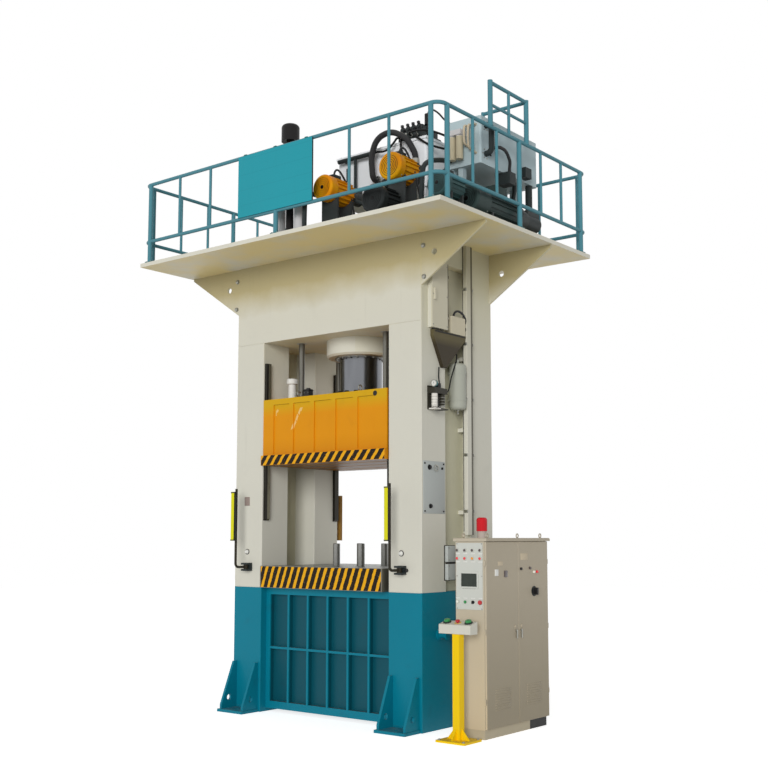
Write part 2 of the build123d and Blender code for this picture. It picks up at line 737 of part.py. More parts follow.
def raised_guard():
    """Raised guard on the right railing, with a return rail to a post on the header tank."""
    high = RAILING_TOP + GUARD_HEIGHT
    middle = (high + RAILING_TOP) / 2
    end_x = TANK_LEFT + GUARD_POST_IN
    guard = bar((RAILING_X, GUARD_FRONT, high), (RAILING_X, GUARD_REAR, high), RAILING_RADIUS)
    guard += bar((RAILING_X, GUARD_FRONT, middle), (RAILING_X, GUARD_REAR, middle), BALUSTER_RADIUS)
    guard += bar((RAILING_X, GUARD_REAR, high), (end_x, GUARD_REAR, high), RAILING_RADIUS)
    guard += disc(end_x, GUARD_REAR, (TANK_HIGH, high + RAILING_RADIUS), RAILING_RADIUS)
    for y in (GUARD_FRONT, GUARD_REAR):
        guard += disc(RAILING_X, y, (RAILING_TOP, high + RAILING_RADIUS), POST_RADIUS)
    return guard + disc(RAILING_X, (GUARD_FRONT + GUARD_REAR) / 2, (RAILING_TOP, high), BALUSTER_RADIUS)


def make_railing():
    """Railing of welded tube: front, rear, two sides and the raised guard on the right side."""
    front, side = railing_front(), railing_side()
    return group(front, mirror(front, about=Plane.XZ), side + raised_guard(), mirror(side, about=Plane.YZ))


def make_board():
    """Plain sheet board hung on the front railing's middle post."""
    face = -RAILING_Y - POST_RADIUS
    low = RAILING_TOP - BOARD_HEIGHT
    board = block((-BOARD_WIDTH / 2, BOARD_WIDTH / 2), (face - BOARD_THICKNESS, face), (low, RAILING_TOP))
    return fillet(board.edges().filter_by(Axis.Y), BOARD_THICKNESS * 2)


# Bolster and die cushion


def make_bolster():
    """Bolster plate with T-slots and four holes for the cushion pins."""
    bolster = Pos(0, 0, BED_TOP + BOLSTER_HEIGHT / 2) * Box(BOLSTER_WIDTH, BOLSTER_DEPTH, BOLSTER_HEIGHT)
    bolster -= t_slots(BOLSTER_WIDTH / 2, BOLSTER_DEPTH / 2 - SLOT_WIDTH, BOLSTER_TOP, -1)
    for sx, sy in CORNERS:
        bolster -= disc(sx * PIN_X, sy * PIN_Y, (BED_TOP, BOLSTER_TOP), PIN_RADIUS + PIN_CLEARANCE)
    return bolster


def make_cushion_cylinder():
    """Cushion cylinder on the floor of the well, open at its top."""
    bore = (WELL_FLOOR + CUSHION_CYLINDER_BASE, CUSHION_CYLINDER_TOP)
    barrel = disc(0, 0, (WELL_FLOOR, CUSHION_CYLINDER_TOP), CUSHION_CYLINDER_RADIUS)
    return barrel - disc(0, 0, bore, CUSHION_ROD_RADIUS + RUN_CLEARANCE)


def make_cushion_plate():
    """Pressure plate of the die cushion, with its rod."""
    width, depth = WELL_WIDTH - 2 * CUSHION_PLATE_GAP, WELL_DEPTH - 2 * CUSHION_PLATE_GAP
    plate = Pos(0, 0, CUSHION_PLATE_Z + CUSHION_PLATE_HEIGHT / 2) * Box(width, depth, CUSHION_PLATE_HEIGHT)
    plate = chamfer(plate.edges().filter_by(Axis.Z), CUSHION_PLATE_GAP)
    foot = WELL_FLOOR + CUSHION_CYLINDER_BASE + PIN_REACH + 2 * CUSHION_REST_GAP
    return plate + disc(0, 0, (foot, CUSHION_PLATE_Z), CUSHION_ROD_RADIUS)


def make_cushion_pins():
    """Four cushion pins that stand on the pressure plate."""
    low = CUSHION_PLATE_Z + CUSHION_PLATE_HEIGHT
    pin = disc(PIN_X, PIN_Y, (low, BOLSTER_TOP + PIN_REACH), PIN_RADIUS)
    pin = chamfer(pin.edges().sort_by(Axis.Z)[-1], 4)
    return every_quarter(pin)


# Slide and rams


def make_slide():
    """Slide with panelled faces, a bottom flange, guide notches and T-slots underneath."""
    slide = block((-SLIDE_X, SLIDE_X), (-SLIDE_Y, SLIDE_Y), (SLIDE_BOTTOM, SLIDE_TOP))
    flange_y = SLIDE_Y + SLIDE_FLANGE_PROUD
    flange_top = SLIDE_BOTTOM + SLIDE_FLANGE_HEIGHT
    slide += block((-SLIDE_X, SLIDE_X), (-flange_y, flange_y), (SLIDE_BOTTOM, flange_top))
    low, high = flange_top + SLIDE_RELIEF, SLIDE_TOP - SLIDE_RIB_WIDTH
    inner = SLIDE_X - SLIDE_STRIP_WIDTH
    edges = [-inner]
    for n in (-1.5, -0.5, 0.5, 1.5):
        edges += [n * SLIDE_RIB_PITCH - SLIDE_RIB_WIDTH / 2, n * SLIDE_RIB_PITCH + SLIDE_RIB_WIDTH / 2]
    edges.append(inner)
    for left, right in zip(edges[::2], edges[1::2]):
        for sy in SIDES:
            slide -= block((left, right), (sy * (SLIDE_Y - SLIDE_RELIEF), sy * SLIDE_Y), (low, high))
    notch = block((GIB_SEAT_X, SLIDE_X), (GIB_SEAT_Y, RAIL_OUTER_Y + GIB_FRONT_GAP), (SLIDE_BOTTOM, SLIDE_TOP))
    half = notch + mirror(notch, about=Plane.XZ)
    slide -= [half, mirror(half, about=Plane.YZ)]
    slide -= t_slots(SLIDE_X, GIB_SEAT_Y - SLOT_WIDTH, SLIDE_BOTTOM, 1)
    return slide


def make_slide_gibs():
    """Angle-shaped bronze gibs that run on two faces of each guide rail."""
    x, y = GIB_SEAT_X, GIB_SEAT_Y
    rail_y = RAIL_OUTER_Y - RAIL_WIDTH - GIB_RUN
    outline = [
        (x, y), (SLIDE_X, y), (SLIDE_X, rail_y), (x + GIB_THICKNESS, rail_y),
        (x + GIB_THICKNESS, RAIL_OUTER_Y), (x, RAIL_OUTER_Y),
    ]
    return every_quarter(plan_profile(outline, (SLIDE_BOTTOM + GIB_THICKNESS, SLIDE_TOP - GIB_THICKNESS)))


def make_ram():
    """Main ram with the flange by which it is bolted on the slide."""
    outline = [
        (0, SLIDE_TOP), (RAM_FLANGE_RADIUS, SLIDE_TOP), (RAM_FLANGE_RADIUS, SLIDE_TOP + RAM_FLANGE_HEIGHT),
        (RAM_RADIUS, SLIDE_TOP + RAM_FLANGE_HEIGHT), (RAM_RADIUS, RAM_TOP), (0, RAM_TOP),
    ]
    return revolve(make_face(Plane.XZ * Polyline(*outline, close=True)), Axis.Z)


def make_main_cylinder():
    """Main cylinder: a collar under the crown, a barrel through it and a blind bore."""
    bore = RAM_RADIUS + BORE_CLEARANCE
    gland = COLLAR_BOTTOM + GLAND_HEIGHT
    outline = [
        (GLAND_RADIUS, COLLAR_BOTTOM), (COLLAR_RADIUS - COLLAR_LIP, COLLAR_BOTTOM),
        (COLLAR_RADIUS, COLLAR_BOTTOM + COLLAR_LIP), (COLLAR_RADIUS, WINDOW_TOP),
        (BARREL_RADIUS, WINDOW_TOP), (BARREL_RADIUS, BARREL_TOP), (0, BARREL_TOP),
        (0, BORE_TOP), (bore, BORE_TOP), (bore, gland), (GLAND_RADIUS, gland),
    ]
    return revolve(make_face(Plane.XZ * Polyline(*outline, close=True)), Axis.Z)


def make_ram_gland():
    """Gland ring in the collar, in which the ram runs."""
    low, high = COLLAR_BOTTOM - COLLAR_LIP / 2, COLLAR_BOTTOM + GLAND_HEIGHT
    return disc(0, 0, (low, high), GLAND_RADIUS, RAM_RADIUS + RUN_CLEARANCE)


def make_return_cylinders():
    """Four return cylinders through the crown."""
    rod = RETURN_ROD_RADIUS + RUN_CLEARANCE
    chamber = RETURN_ROD_RADIUS + BORE_CLEARANCE
    gland = WINDOW_TOP + GLAND_HEIGHT
    top = RETURN_BARREL_TOP
    outline = [
        (rod, WINDOW_TOP), (RETURN_BARREL_RADIUS, WINDOW_TOP), (RETURN_BARREL_RADIUS, top), (0, top),
        (0, top - BORE_CLEARANCE * 2), (chamber, top - BORE_CLEARANCE * 2), (chamber, gland), (rod, gland),
    ]
    barrel = revolve(make_face(Plane.XZ * Polyline(*outline, close=True)), Axis.Z)
    return every_quarter(Pos(RETURN_X, RETURN_Y, 0) * barrel)


def make_return_rods():
    """Four return rods with the nuts that hold them on the slide."""
    rod_top = RETURN_BARREL_TOP - STROKE_UP - RETURN_HEAD
    rod = disc(RETURN_X, RETURN_Y, (SLIDE_TOP, rod_top), RETURN_ROD_RADIUS)
    nut = Pos(RETURN_X, RETURN_Y, SLIDE_TOP) * extrude(RegularPolygon(RETURN_NUT_RADIUS, 6), RETURN_NUT_HEIGHT)
    nut -= disc(RETURN_X, RETURN_Y, (SLIDE_TOP, SLIDE_TOP + RETURN_NUT_HEIGHT), RETURN_ROD_RADIUS + RUN_CLEARANCE)
    return group(every_quarter(rod), every_quarter(nut))


def make_position_sensor():
    """Housing of the slide position sensor, on top of the slide."""
    x, y = -RETURN_X + RETURN_NUT_RADIUS + SENSOR_WIDTH / 2 + 10, -RETURN_Y
    body = Pos(x, y, SLIDE_TOP + SENSOR_HEIGHT / 2) * Box(SENSOR_WIDTH, SENSOR_WIDTH, SENSOR_HEIGHT)
    body = fillet(body.edges().filter_by(Axis.Z), 10)
    return body + disc(x, y, (SLIDE_TOP + SENSOR_HEIGHT, SLIDE_TOP + SENSOR_HEIGHT + 15), 24)


# Light curtains


def make_curtain_clamps():
    """Forked clamps on the front columns, each with the pivot pin of a curtain arm."""
    half, gap = CURTAIN_CLAMP / 2, FORK_GAP / 2
    tip = PIVOT_Y - EYE_ROOM
    clamps = []
    for sx in SIDES:
        x = sx * CURTAIN_X
        clamp = block((x - half, x + half), (tip, -HALF_DEPTH), (CURTAIN_Z - half, CURTAIN_Z + half))
        clamp -= block((x - half, x + half), (tip, PIVOT_Y + EYE_ROOM), (CURTAIN_Z - gap, CURTAIN_Z + gap))
        clamps.append(clamp + disc(x, PIVOT_Y, (CURTAIN_Z - gap, CURTAIN_Z + gap), EYE_PIN))
    return group(*clamps)


def curtain_housing(x, y, facing):
    """Housing of a light curtain with a shallow window groove on the side that faces inwards."""
    x0, x1 = x - CURTAIN_WIDTH / 2, x + CURTAIN_WIDTH / 2
    housing = block((x0, x1), (y, y + CURTAIN_DEPTH), (CURTAIN_BOTTOM, CURTAIN_BOTTOM + CURTAIN_LENGTH))
    housing = chamfer(housing.edges().filter_by(Axis.Z), 6)
    face = x + facing * CURTAIN_WIDTH / 2
    groove = (CURTAIN_BOTTOM + CURTAIN_CAP, CURTAIN_BOTTOM + CURTAIN_LENGTH - CURTAIN_CAP)
    window = (y + CURTAIN_RIM, y + CURTAIN_DEPTH - CURTAIN_RIM)
    return housing - block((face - facing * CURTAIN_GROOVE, face), window, groove)


def make_light_curtain(sx):
    """A light curtain on its bent rod, with the eye that swings on the clamp's pin."""
    x, rod_y = sx * CURTAIN_X, PIVOT_Y - CURTAIN_REACH
    top = CURTAIN_BOTTOM + CURTAIN_LENGTH + CURTAIN_ROD_OVER
    root = PIVOT_Y - (EYE_PIN + EYE_RADIUS) / 2
    points = [(x, root, CURTAIN_Z), (x, rod_y, CURTAIN_Z), (x, rod_y, top)]
    rod = pipe(FilletPolyline(*points, radius=CURTAIN_ROD_BEND), CURTAIN_ROD_RADIUS)
    half = FORK_GAP / 2 - SEAT_GAP
    rod += disc(x, PIVOT_Y, (CURTAIN_Z - half, CURTAIN_Z + half), EYE_RADIUS, EYE_PIN + PIN_RUN)
    housing = curtain_housing(x, rod_y - CURTAIN_ROD_RADIUS - CURTAIN_DEPTH, -sx)
    return group(rod, housing)


def make_rear_curtains():
    """Fixed light curtains behind the rear columns, each on two brackets."""
    solids = []
    for sx in SIDES:
        x, y = sx * (WINDOW_X + REAR_CURTAIN_OUT), HALF_DEPTH + REAR_CURTAIN_BACK
        solids.append(curtain_housing(x, y, -sx))
        for z in (CURTAIN_BOTTOM + CURTAIN_LENGTH * 0.2, CURTAIN_BOTTOM + CURTAIN_LENGTH * 0.8):
            height = (z - CURTAIN_CAP, z + CURTAIN_CAP)
            solids.append(block((x - CURTAIN_RIM, x + CURTAIN_RIM), (HALF_DEPTH, y), height))
    return group(*solids)


# Equipment on the right side


def hinge_lug(x, y, z, reach):
    """Fixed half of a hinge: a lug that reaches back to its wall, with an upright pin."""
    top, pin_top = z + HINGE_LUG, z + HINGE_LUG + HINGE_HEIGHT + HINGE_LEAF
    lug = disc(x, y, (z, top), HINGE_KNUCKLE)
    lug += block((x - reach, x), (y - HINGE_LEAF, y + HINGE_LEAF), (z, top))
    return lug + disc(x, y, (top, pin_top), HINGE_PIN)


def hinge_knuckle(x, y, z, edge):
    """Moving half of a hinge: a knuckle on the door's edge, which lies at one value of Y."""
    low, high = z + HINGE_LUG + SEAT_GAP, z + HINGE_LUG + HINGE_HEIGHT
    knuckle = disc(x, y, (low, high), HINGE_KNUCKLE)
    knuckle += block((x - HINGE_KNUCKLE, x + HINGE_KNUCKLE), (min(y, edge), max(y, edge)), (low, high))
    return knuckle - disc(x, y, (low, high), HINGE_PIN + PIN_RUN)


def make_junction_box():
    """Shallow steel box on the side of the right front column, open to its door."""
    outer, wall = HALF_WIDTH + BOX_DEPTH, BOX_WALL
    box = block((HALF_WIDTH, outer), (BOX_FRONT, BOX_REAR), (BOX_BOTTOM, BOX_TOP))
    box -= block(
        (HALF_WIDTH + wall, outer), (BOX_FRONT + wall, BOX_REAR - wall), (BOX_BOTTOM + wall, BOX_TOP - wall)
    )
    for z in BOX_HINGES:
        box += hinge_lug(outer + BOX_DOOR / 2, BOX_REAR + HINGE_LEAF, z, BOX_DEPTH / 2)
    return box


def make_junction_box_door():
    """Door of the junction box with its turned-down handle."""
    inner = HALF_WIDTH + BOX_DEPTH + SEAT_GAP
    axis_x, axis_y = HALF_WIDTH + BOX_DEPTH + BOX_DOOR / 2, BOX_REAR + HINGE_LEAF
    edge = axis_y - HINGE_EDGE
    face = inner + BOX_DOOR
    door = block((inner, face), (BOX_FRONT, edge), (BOX_BOTTOM, BOX_TOP))
    for z in BOX_HINGES:
        door += hinge_knuckle(axis_x, axis_y, z, edge)
    grip_y, grip_z, half = BOX_FRONT + BOX_GRIP, (BOX_BOTTOM + BOX_TOP) / 2, BOX_GRIP_LENGTH / 2
    return door + block((face, face + BOX_GRIP), (grip_y, grip_y + BOX_GRIP), (grip_z - half, grip_z + half))


def make_cable_bracket():
    """Triangular bracket under the junction box, on the side of the frame."""
    top, low = BOX_BOTTOM - BRACKET_GAP, BOX_BOTTOM - BRACKET_GAP - BRACKET_DROP_SIDE
    front, rear = BOX_FRONT + BOX_DEPTH, HOUSING_REAR + BRACKET_EDGE
    nose = BRACKET_NOSE / 2
    outline = [
        (front, top), (rear, top), (rear - BRACKET_NOSE / 2, top - BRACKET_SIDE), (BRACKET_NOSE_Y + nose, low),
        (BRACKET_NOSE_Y - nose, low), (front, top - BRACKET_SIDE),
    ]
    return side_profile(outline, (HALF_WIDTH, HALF_WIDTH + BRACKET_DEPTH))


def make_terminal_housing():
    """Terminal housing that stands on the bracket, in front of the side pocket."""
    top = BOX_BOTTOM - BRACKET_GAP
    x = (HALF_WIDTH - HOUSING_SUNK, HALF_WIDTH + BRACKET_DEPTH)
    housing = block(x, (HOUSING_FRONT, HOUSING_REAR), (top, top + HOUSING_HEIGHT))
    return fillet(housing.edges().filter_by(Axis.X), 12)


def make_cable_duct():
    """Sheet duct that runs down the side from the deck to the cabinet's height."""
    x = (HALF_WIDTH, HALF_WIDTH + DUCT_DEPTH)
    side = HALF_WIDTH - SIDE_POCKET_DEPTH
    duct = block(x, (DUCT_FRONT, DUCT_REAR), (DUCT_BOTTOM, CROWN_TOP))
    duct = chamfer(duct.edges().filter_by(Axis.Z), 4)
    for share in (0.1, 0.5, 0.85):
        z = DUCT_BOTTOM + (WINDOW_TOP - DUCT_BOTTOM) * share
        middle = (DUCT_FRONT + DUCT_REAR) / 2
        clip_y = (middle - DUCT_CLIP / 2, middle + DUCT_CLIP / 2)
        duct += block((side, HALF_WIDTH), clip_y, (z, z + DUCT_CLIP))
    return duct


def make_air_receiver():
    """Upright air receiver with domed ends, held by two brackets in the side pocket."""
    r, dome = RECEIVER_RADIUS, RECEIVER_DOME
    pocket = HALF_WIDTH - SIDE_POCKET_DEPTH
    x = pocket + r + RECEIVER_BAND + SEAT_GAP
    vessel = disc(x, 0, (RECEIVER_BOTTOM, RECEIVER_TOP), r)
    vessel = fillet(vessel.edges().filter_by(GeomType.CIRCLE), dome)
    vessel += disc(x, 0, (RECEIVER_TOP - dome, RECEIVER_TOP + dome), RECEIVER_STRAP / 2)
    for z in (RECEIVER_BOTTOM + r, RECEIVER_TOP - r - RECEIVER_STRAP):
        vessel += block((pocket, x), (-r / 2, r / 2), (z, z + RECEIVER_STRAP))
        vessel += disc(x, 0, (z, z + RECEIVER_STRAP), r + RECEIVER_BAND)
    return vessel


def make_service_unit():
    """Air service unit: a bracket, a body, two bowls over a drip tray and a pressure gauge."""
    x, y, z, half, out = HALF_WIDTH + UNIT_OUT, UNIT_Y, UNIT_Z, UNIT_HALF, UNIT_BOWL_OUT
    plate, radius = HALF_WIDTH + UNIT_PLATE, UNIT_BOWL_RADIUS
    under = z - UNIT_BODY_LOW
    tray = under - UNIT_BOWL_LENGTH - UNIT_BODY_LOW
    unit = block((HALF_WIDTH, plate), (y - half, y + half), (tray, z + GAUGE_LIFT - GAUGE_DEPTH))
    unit += block((plate, x + UNIT_BODY_TOP), (y - half, y + half), (under, z + UNIT_BODY_TOP))
    unit += disc(x, y - out, (under - UNIT_BOWL_LENGTH, under), radius)
    unit += disc(x, y + out, (under - UNIT_BOWL_LENGTH * 0.8, under), radius * 0.9)
    unit += block((plate, x + radius * 1.5), (y - half, y + half), (tray, tray + UNIT_PLATE))
    unit += Pos(x, y - out, z + GAUGE_LIFT) * Rot(90, 0, 0) * Cylinder(GAUGE_RADIUS, GAUGE_DEPTH)
    unit += disc(x, y - out, (z + UNIT_BODY_TOP, z + GAUGE_LIFT - GAUGE_RADIUS / 2), GAUGE_RADIUS / 4)
    return unit - disc(x, y, (z + UNIT_BODY_TOP - KNOB_SOCKET, z + UNIT_BODY_TOP), KNOB_STEM + PIN_RUN)


def make_regulator_knob():
    """Turning knob of the pressure regulator, with a fluted grip."""
    x, y, z = HALF_WIDTH + UNIT_OUT, UNIT_Y, UNIT_Z + UNIT_BODY_TOP
    grip = Circle(KNOB_RADIUS) - PolarLocations(KNOB_RADIUS, KNOB_FLUTES) * Circle(FLUTE_RADIUS)
    knob = Pos(x, y, z + SEAT_GAP) * extrude(grip, KNOB_HEIGHT)
    return knob + disc(x, y, (z - KNOB_SOCKET + 1, z + SEAT_GAP), KNOB_STEM)


# Control cabinet


def make_cabinet():
    """Cabinet housing, open on the side of its two doors, with a roof that overhangs."""
    low = CABINET_PLINTH
    x, y, z = (CABINET_LEFT, DOOR_INNER), (CABINET_FRONT, CABINET_REAR), (low, CABINET_TOP)
    wall = CABINET_WALL
    body = block(x, y, z)
    body -= block((x[0] + wall, x[1]), (y[0] + wall, y[1] - wall), (z[0] + wall, z[1] - wall))
    over = CABINET_LID_OVERHANG
    roof = block(
        (x[0] - over, CABINET_RIGHT + over), (y[0] - over, y[1] + over), (CABINET_TOP, CABINET_TOP + CABINET_LID)
    )
    body += chamfer(roof.edges().group_by(Axis.Z)[-1], CABINET_LID_CHAMFER)
    stop = (z[1] - wall - DOOR_STOP, z[1] - wall)
    body += block((x[0] + wall, x[1]), (CABINET_Y - DOOR_STOP / 2, CABINET_Y + DOOR_STOP / 2), stop)
    for sy, edge in ((-1, CABINET_FRONT), (1, CABINET_REAR)):
        for height in CABINET_HINGES:
            body += hinge_lug(HINGE_X, edge + sy * HINGE_LEAF, height, CABINET_DOOR)
    eye_z = CABINET_TOP + CABINET_LID + EYE_BOLT_RADIUS + EYE_BOLT_WIRE / 2
    for sx, sy in CORNERS:
        eye = Pos(CABINET_X + sx * EYE_BOLT_X, sy * EYE_BOLT_Y, eye_z) * Rot(0, 90, 0)
        body += eye * Torus(EYE_BOLT_RADIUS, EYE_BOLT_WIRE)
    for stem_x in PANEL_COLUMNS[1:]:
        hole = Pos(stem_x, CABINET_FRONT + wall / 2, PANEL_ROW) * Rot(90, 0, 0)
        body -= hole * Cylinder(BUTTON_STEM * 1.5, 2 * wall)
    return body


def make_cabinet_plinth():
    """Base frame of the cabinet, set back a little from its walls."""
    x = (CABINET_LEFT + PLINTH_INSET, DOOR_INNER - PLINTH_INSET)
    y = (CABINET_FRONT + PLINTH_INSET, CABINET_REAR - PLINTH_INSET)
    inner = [(low + PLINTH_RIM, high - PLINTH_RIM) for low, high in (x, y)]
    return block(x, y, (0, CABINET_PLINTH)) - block(*inner, (0, CABINET_PLINTH))


def make_cabinet_door(front):
    """One leaf of the cabinet's doors with its hinge knuckles and its lock."""
    sy, edge = (-1, CABINET_FRONT) if front else (1, CABINET_REAR)
    axis_y = edge + sy * HINGE_LEAF
    hinge_edge, lock_edge = axis_y - sy * HINGE_EDGE, CABINET_Y + sy * LEAF_GAP
    z = (CABINET_PLINTH + DOOR_LOW_GAP, CABINET_TOP - DOOR_TOP_GAP)
    door = block((DOOR_INNER + SEAT_GAP, CABINET_RIGHT), sorted((hinge_edge, lock_edge)), z)
    door = chamfer(door.faces().sort_by(Axis.X)[-1].edges(), 3)
    for height in CABINET_HINGES:
        door += hinge_knuckle(HINGE_X, axis_y, height, hinge_edge)
    outward = Rot(0, 90, 0)
    if not front:
        shaft = Pos(CABINET_RIGHT, ISOLATOR_Y, ISOLATOR_Z) * outward
        door -= shaft * Cylinder(ISOLATOR_SHAFT + PIN_RUN, 3 * CABINET_DOOR)
    lock = Pos(CABINET_RIGHT + LOCK_HEIGHT / 2, CABINET_Y + sy * LOCK_IN, LOCK_Z) * outward
    return door + lock * Cylinder(LOCK_RADIUS, LOCK_HEIGHT)


def make_isolator_switch():
    """Rotary handle of the main isolator, on a round shaft through the rear door."""
    base = Pos(CABINET_RIGHT, ISOLATOR_Y, ISOLATOR_Z)
    outward = Rot(0, 90, 0)
    switch = base * outward * Pos(0, 0, ISOLATOR_DEPTH / 2 + SEAT_GAP) * Cylinder(ISOLATOR_RADIUS, ISOLATOR_DEPTH)
    grip = base * Pos(ISOLATOR_DEPTH + ISOLATOR_GRIP[0] / 2, 0, 0) * Box(*ISOLATOR_GRIP)
    switch += fillet(grip.edges().filter_by(Axis.X), 8)
    shaft = CABINET_DOOR + ISOLATOR_SHAFT
    return switch + base * outward * Pos(0, 0, ISOLATOR_DEPTH / 2 - shaft / 2) * Cylinder(ISOLATOR_SHAFT, shaft)


def make_mounting_plate():
    """Mounting plate inside the cabinet with rows of contactors, relays and wire ducts."""
    wall = CABINET_LEFT + CABINET_WALL
    face = wall + PLATE_STAND_OFF + PLATE_THICKNESS
    y = (CABINET_FRONT + PLATE_INSET, CABINET_REAR - PLATE_INSET)
    z = (CABINET_PLINTH + PLATE_END, CABINET_TOP - PLATE_END)
    plate = block((wall + PLATE_STAND_OFF, face), y, z)
    for stud_y in (y[0] + PLATE_STUD_IN, y[1] - PLATE_STUD_IN):
        for stud_z in (z[0] + PLATE_STUD_IN, z[1] - PLATE_STUD_IN):
            stud = Pos(wall + PLATE_STAND_OFF / 2, stud_y, stud_z) * Rot(0, 90, 0)
            plate += stud * Cylinder(PLATE_STUD, PLATE_STAND_OFF)
    for row, (height, depth, width) in enumerate(GEAR_ROWS):
        low = CABINET_TOP - GEAR_TOP - row * GEAR_PITCH
        duct = low + height + GEAR_DUCT / 2
        ends = (y[0] + 2 * GEAR_SPACING, y[1] - 2 * GEAR_SPACING)
        plate += block((face, face + GEAR_DUCT), ends, (duct, duct + GEAR_DUCT))
        step = width + GEAR_SPACING
        for n in range(int((ends[1] - ends[0]) // step)):
            start = ends[0] + n * step
            plate += block((face, face + depth), (start, start + width), (low, low + height))
    return plate


def facing_front(x, z):
    """Location on the operator panel's face, with Z out of the panel."""
    return Plane(origin=(x, PANEL_FACE, z), x_dir=(1, 0, 0), z_dir=(0, -1, 0))


def make_operator_panel():
    """Operator panel with a bezel for the screen, two rows of lamp housings and button holes."""
    x, z = (PANEL_X - PANEL_HALF, PANEL_X + PANEL_HALF), (PANEL_ROW - PANEL_FOOT, CABINET_TOP - PANEL_TOP_GAP)
    panel = block(x, (PANEL_FACE, CABINET_FRONT), z)
    bezel = Rectangle(SCREEN_WIDTH + 2 * BEZEL_RIM, SCREEN_HEIGHT + 2 * BEZEL_RIM)
    bezel -= Rectangle(SCREEN_WIDTH, SCREEN_HEIGHT)
    panel += extrude(facing_front(PANEL_X, PANEL_ROW + SCREEN_LIFT) * bezel, BEZEL_DEPTH)
    lift = Pos(0, 0, LAMP_HEIGHT / 2)
    for lamp_x in PANEL_COLUMNS:
        for drop in LAMP_DROPS:
            lamp = facing_front(lamp_x, CABINET_TOP - drop) * lift * Cylinder(LAMP_RADIUS, LAMP_HEIGHT)
            panel += fillet(lamp.edges().sort_by(Axis.Y)[0], 5)
    for stem_x in PANEL_COLUMNS[1:]:
        panel -= facing_front(stem_x, PANEL_ROW) * Cylinder(BUTTON_STEM + PIN_RUN, 4 * PANEL_SHEET)
    return panel + facing_front(PANEL_COLUMNS[0], PANEL_ROW) * lift * Cylinder(LAMP_RADIUS, LAMP_HEIGHT)


def button(radius, height, gap, stem, neck):
    """A button on its stem, upright, with the panel's face at zero."""
    cap = Pos(0, 0, gap) * extrude(Circle(radius), height)
    cap = fillet(cap.edges().sort_by(Axis.Z)[-1], height * 0.45)
    return cap + Pos(0, 0, -neck) * extrude(Circle(stem), neck + gap)


def make_panel_button(column, radius, height, gap):
    """A button in the lowest row of the operator panel."""
    return facing_front(PANEL_COLUMNS[column], PANEL_ROW) * button(radius, height, gap, BUTTON_STEM, BUTTON_NECK)


def make_mode_selector():
    """Rotary selector with a raised grip."""
    knob = extrude(Circle(LAMP_RADIUS), SELECTOR_HEIGHT)
    grip = extrude(RectangleRounded(SELECTOR_HEIGHT, 2 * LAMP_RADIUS - SELECTOR_HEIGHT / 2, 4), BUTTON_NECK)
    knob = Pos(0, 0, SEAT_GAP) * (knob + Pos(0, 0, SELECTOR_HEIGHT) * grip)
    knob += Pos(0, 0, -BUTTON_NECK) * extrude(Circle(BUTTON_STEM), BUTTON_NECK + SEAT_GAP)
    return facing_front(PANEL_COLUMNS[2], PANEL_ROW) * knob


def make_beacon():
    """Warning beacon: a base on the roof and a domed lens."""
    x, y, z = BEACON_X, BEACON_Y, CABINET_TOP + CABINET_LID
    lens = disc(x, y, (z + BEACON_FOOT_HEIGHT, z + BEACON_HEIGHT), BEACON_RADIUS)
    lens = fillet(lens.edges().sort_by(Axis.Z)[-1], BEACON_RADIUS / 2)
    return group(disc(x, y, (z, z + BEACON_FOOT_HEIGHT), BEACON_FOOT), lens)


# Push-button stand


def make_stand_base():
    """Foot plate, post and ribs of the stand, welded."""
    base = Pos(STAND_X, STAND_Y, STAND_FOOT / 2) * Box(STAND_FOOT_WIDTH, STAND_FOOT_DEPTH, STAND_FOOT)
    base = fillet(base.edges().filter_by(Axis.Z), 12)
    inside = STAND_POST - 2 * STAND_POST_WALL
    post = Rectangle(STAND_POST, STAND_POST) - Rectangle(inside, inside)
    base += Pos(STAND_X, STAND_Y, STAND_FOOT) * extrude(post, STAND_TOP - STAND_BOX_HEIGHT - STAND_FOOT)
    half, web = STAND_POST / 2, STAND_GUSSET / 2
    for side in SIDES:
        inner, outer = STAND_X + side * half, STAND_X + side * (half + STAND_GUSSET_X)
        outline = [(inner, STAND_FOOT), (outer, STAND_FOOT), (inner, STAND_GUSSET_TOP)]
        base += front_profile(outline, (STAND_Y - web, STAND_Y + web))
        inner, outer = STAND_Y + side * half, STAND_Y + side * (half + STAND_GUSSET_Y)
        outline = [(inner, STAND_FOOT), (outer, STAND_FOOT), (inner, STAND_GUSSET_TOP)]
        base += side_profile(outline, (STAND_X - web, STAND_X + web))
    return base


def stand_face(x):
    """Location on the sloping face of the stand's box, with Z out of the face."""
    slope = Vector(0, STAND_BOX_DEPTH, STAND_SLOPE).normalized()
    return Plane(
        origin=(STAND_X + x, STAND_Y, STAND_TOP - STAND_SLOPE / 2), x_dir=(1, 0, 0),
        z_dir=Vector(0, -slope.Z, slope.Y),
    )


def make_stand_box():
    """Box of the two-hand station, its face sloping down to the operator."""
    low, half = STAND_TOP - STAND_BOX_HEIGHT, STAND_BOX_DEPTH / 2
    outline = [
        (STAND_Y - half, low), (STAND_Y + half, low), (STAND_Y + half, STAND_TOP),
        (STAND_Y - half, STAND_TOP - STAND_SLOPE),
    ]
    x = (STAND_X - STAND_BOX_WIDTH / 2, STAND_X + STAND_BOX_WIDTH / 2)
    box = side_profile(outline, x)
    box = fillet(box.edges().filter_by(Axis.X), 6)
    for offset in (-PALM_OFFSET, 0, PALM_OFFSET):
        socket = stand_face(offset) * Pos(0, 0, -STAND_BOX_HEIGHT / 4)
        box -= socket * Cylinder(PALM_STEM + PIN_RUN, STAND_BOX_HEIGHT / 2 + SEAT_GAP)
    return box


def make_stand_button(offset, radius, height):
    """A mushroom button on the stand's face."""
    return stand_face(offset) * button(radius, height, STAND_BUTTON_GAP, PALM_STEM, PALM_NECK)


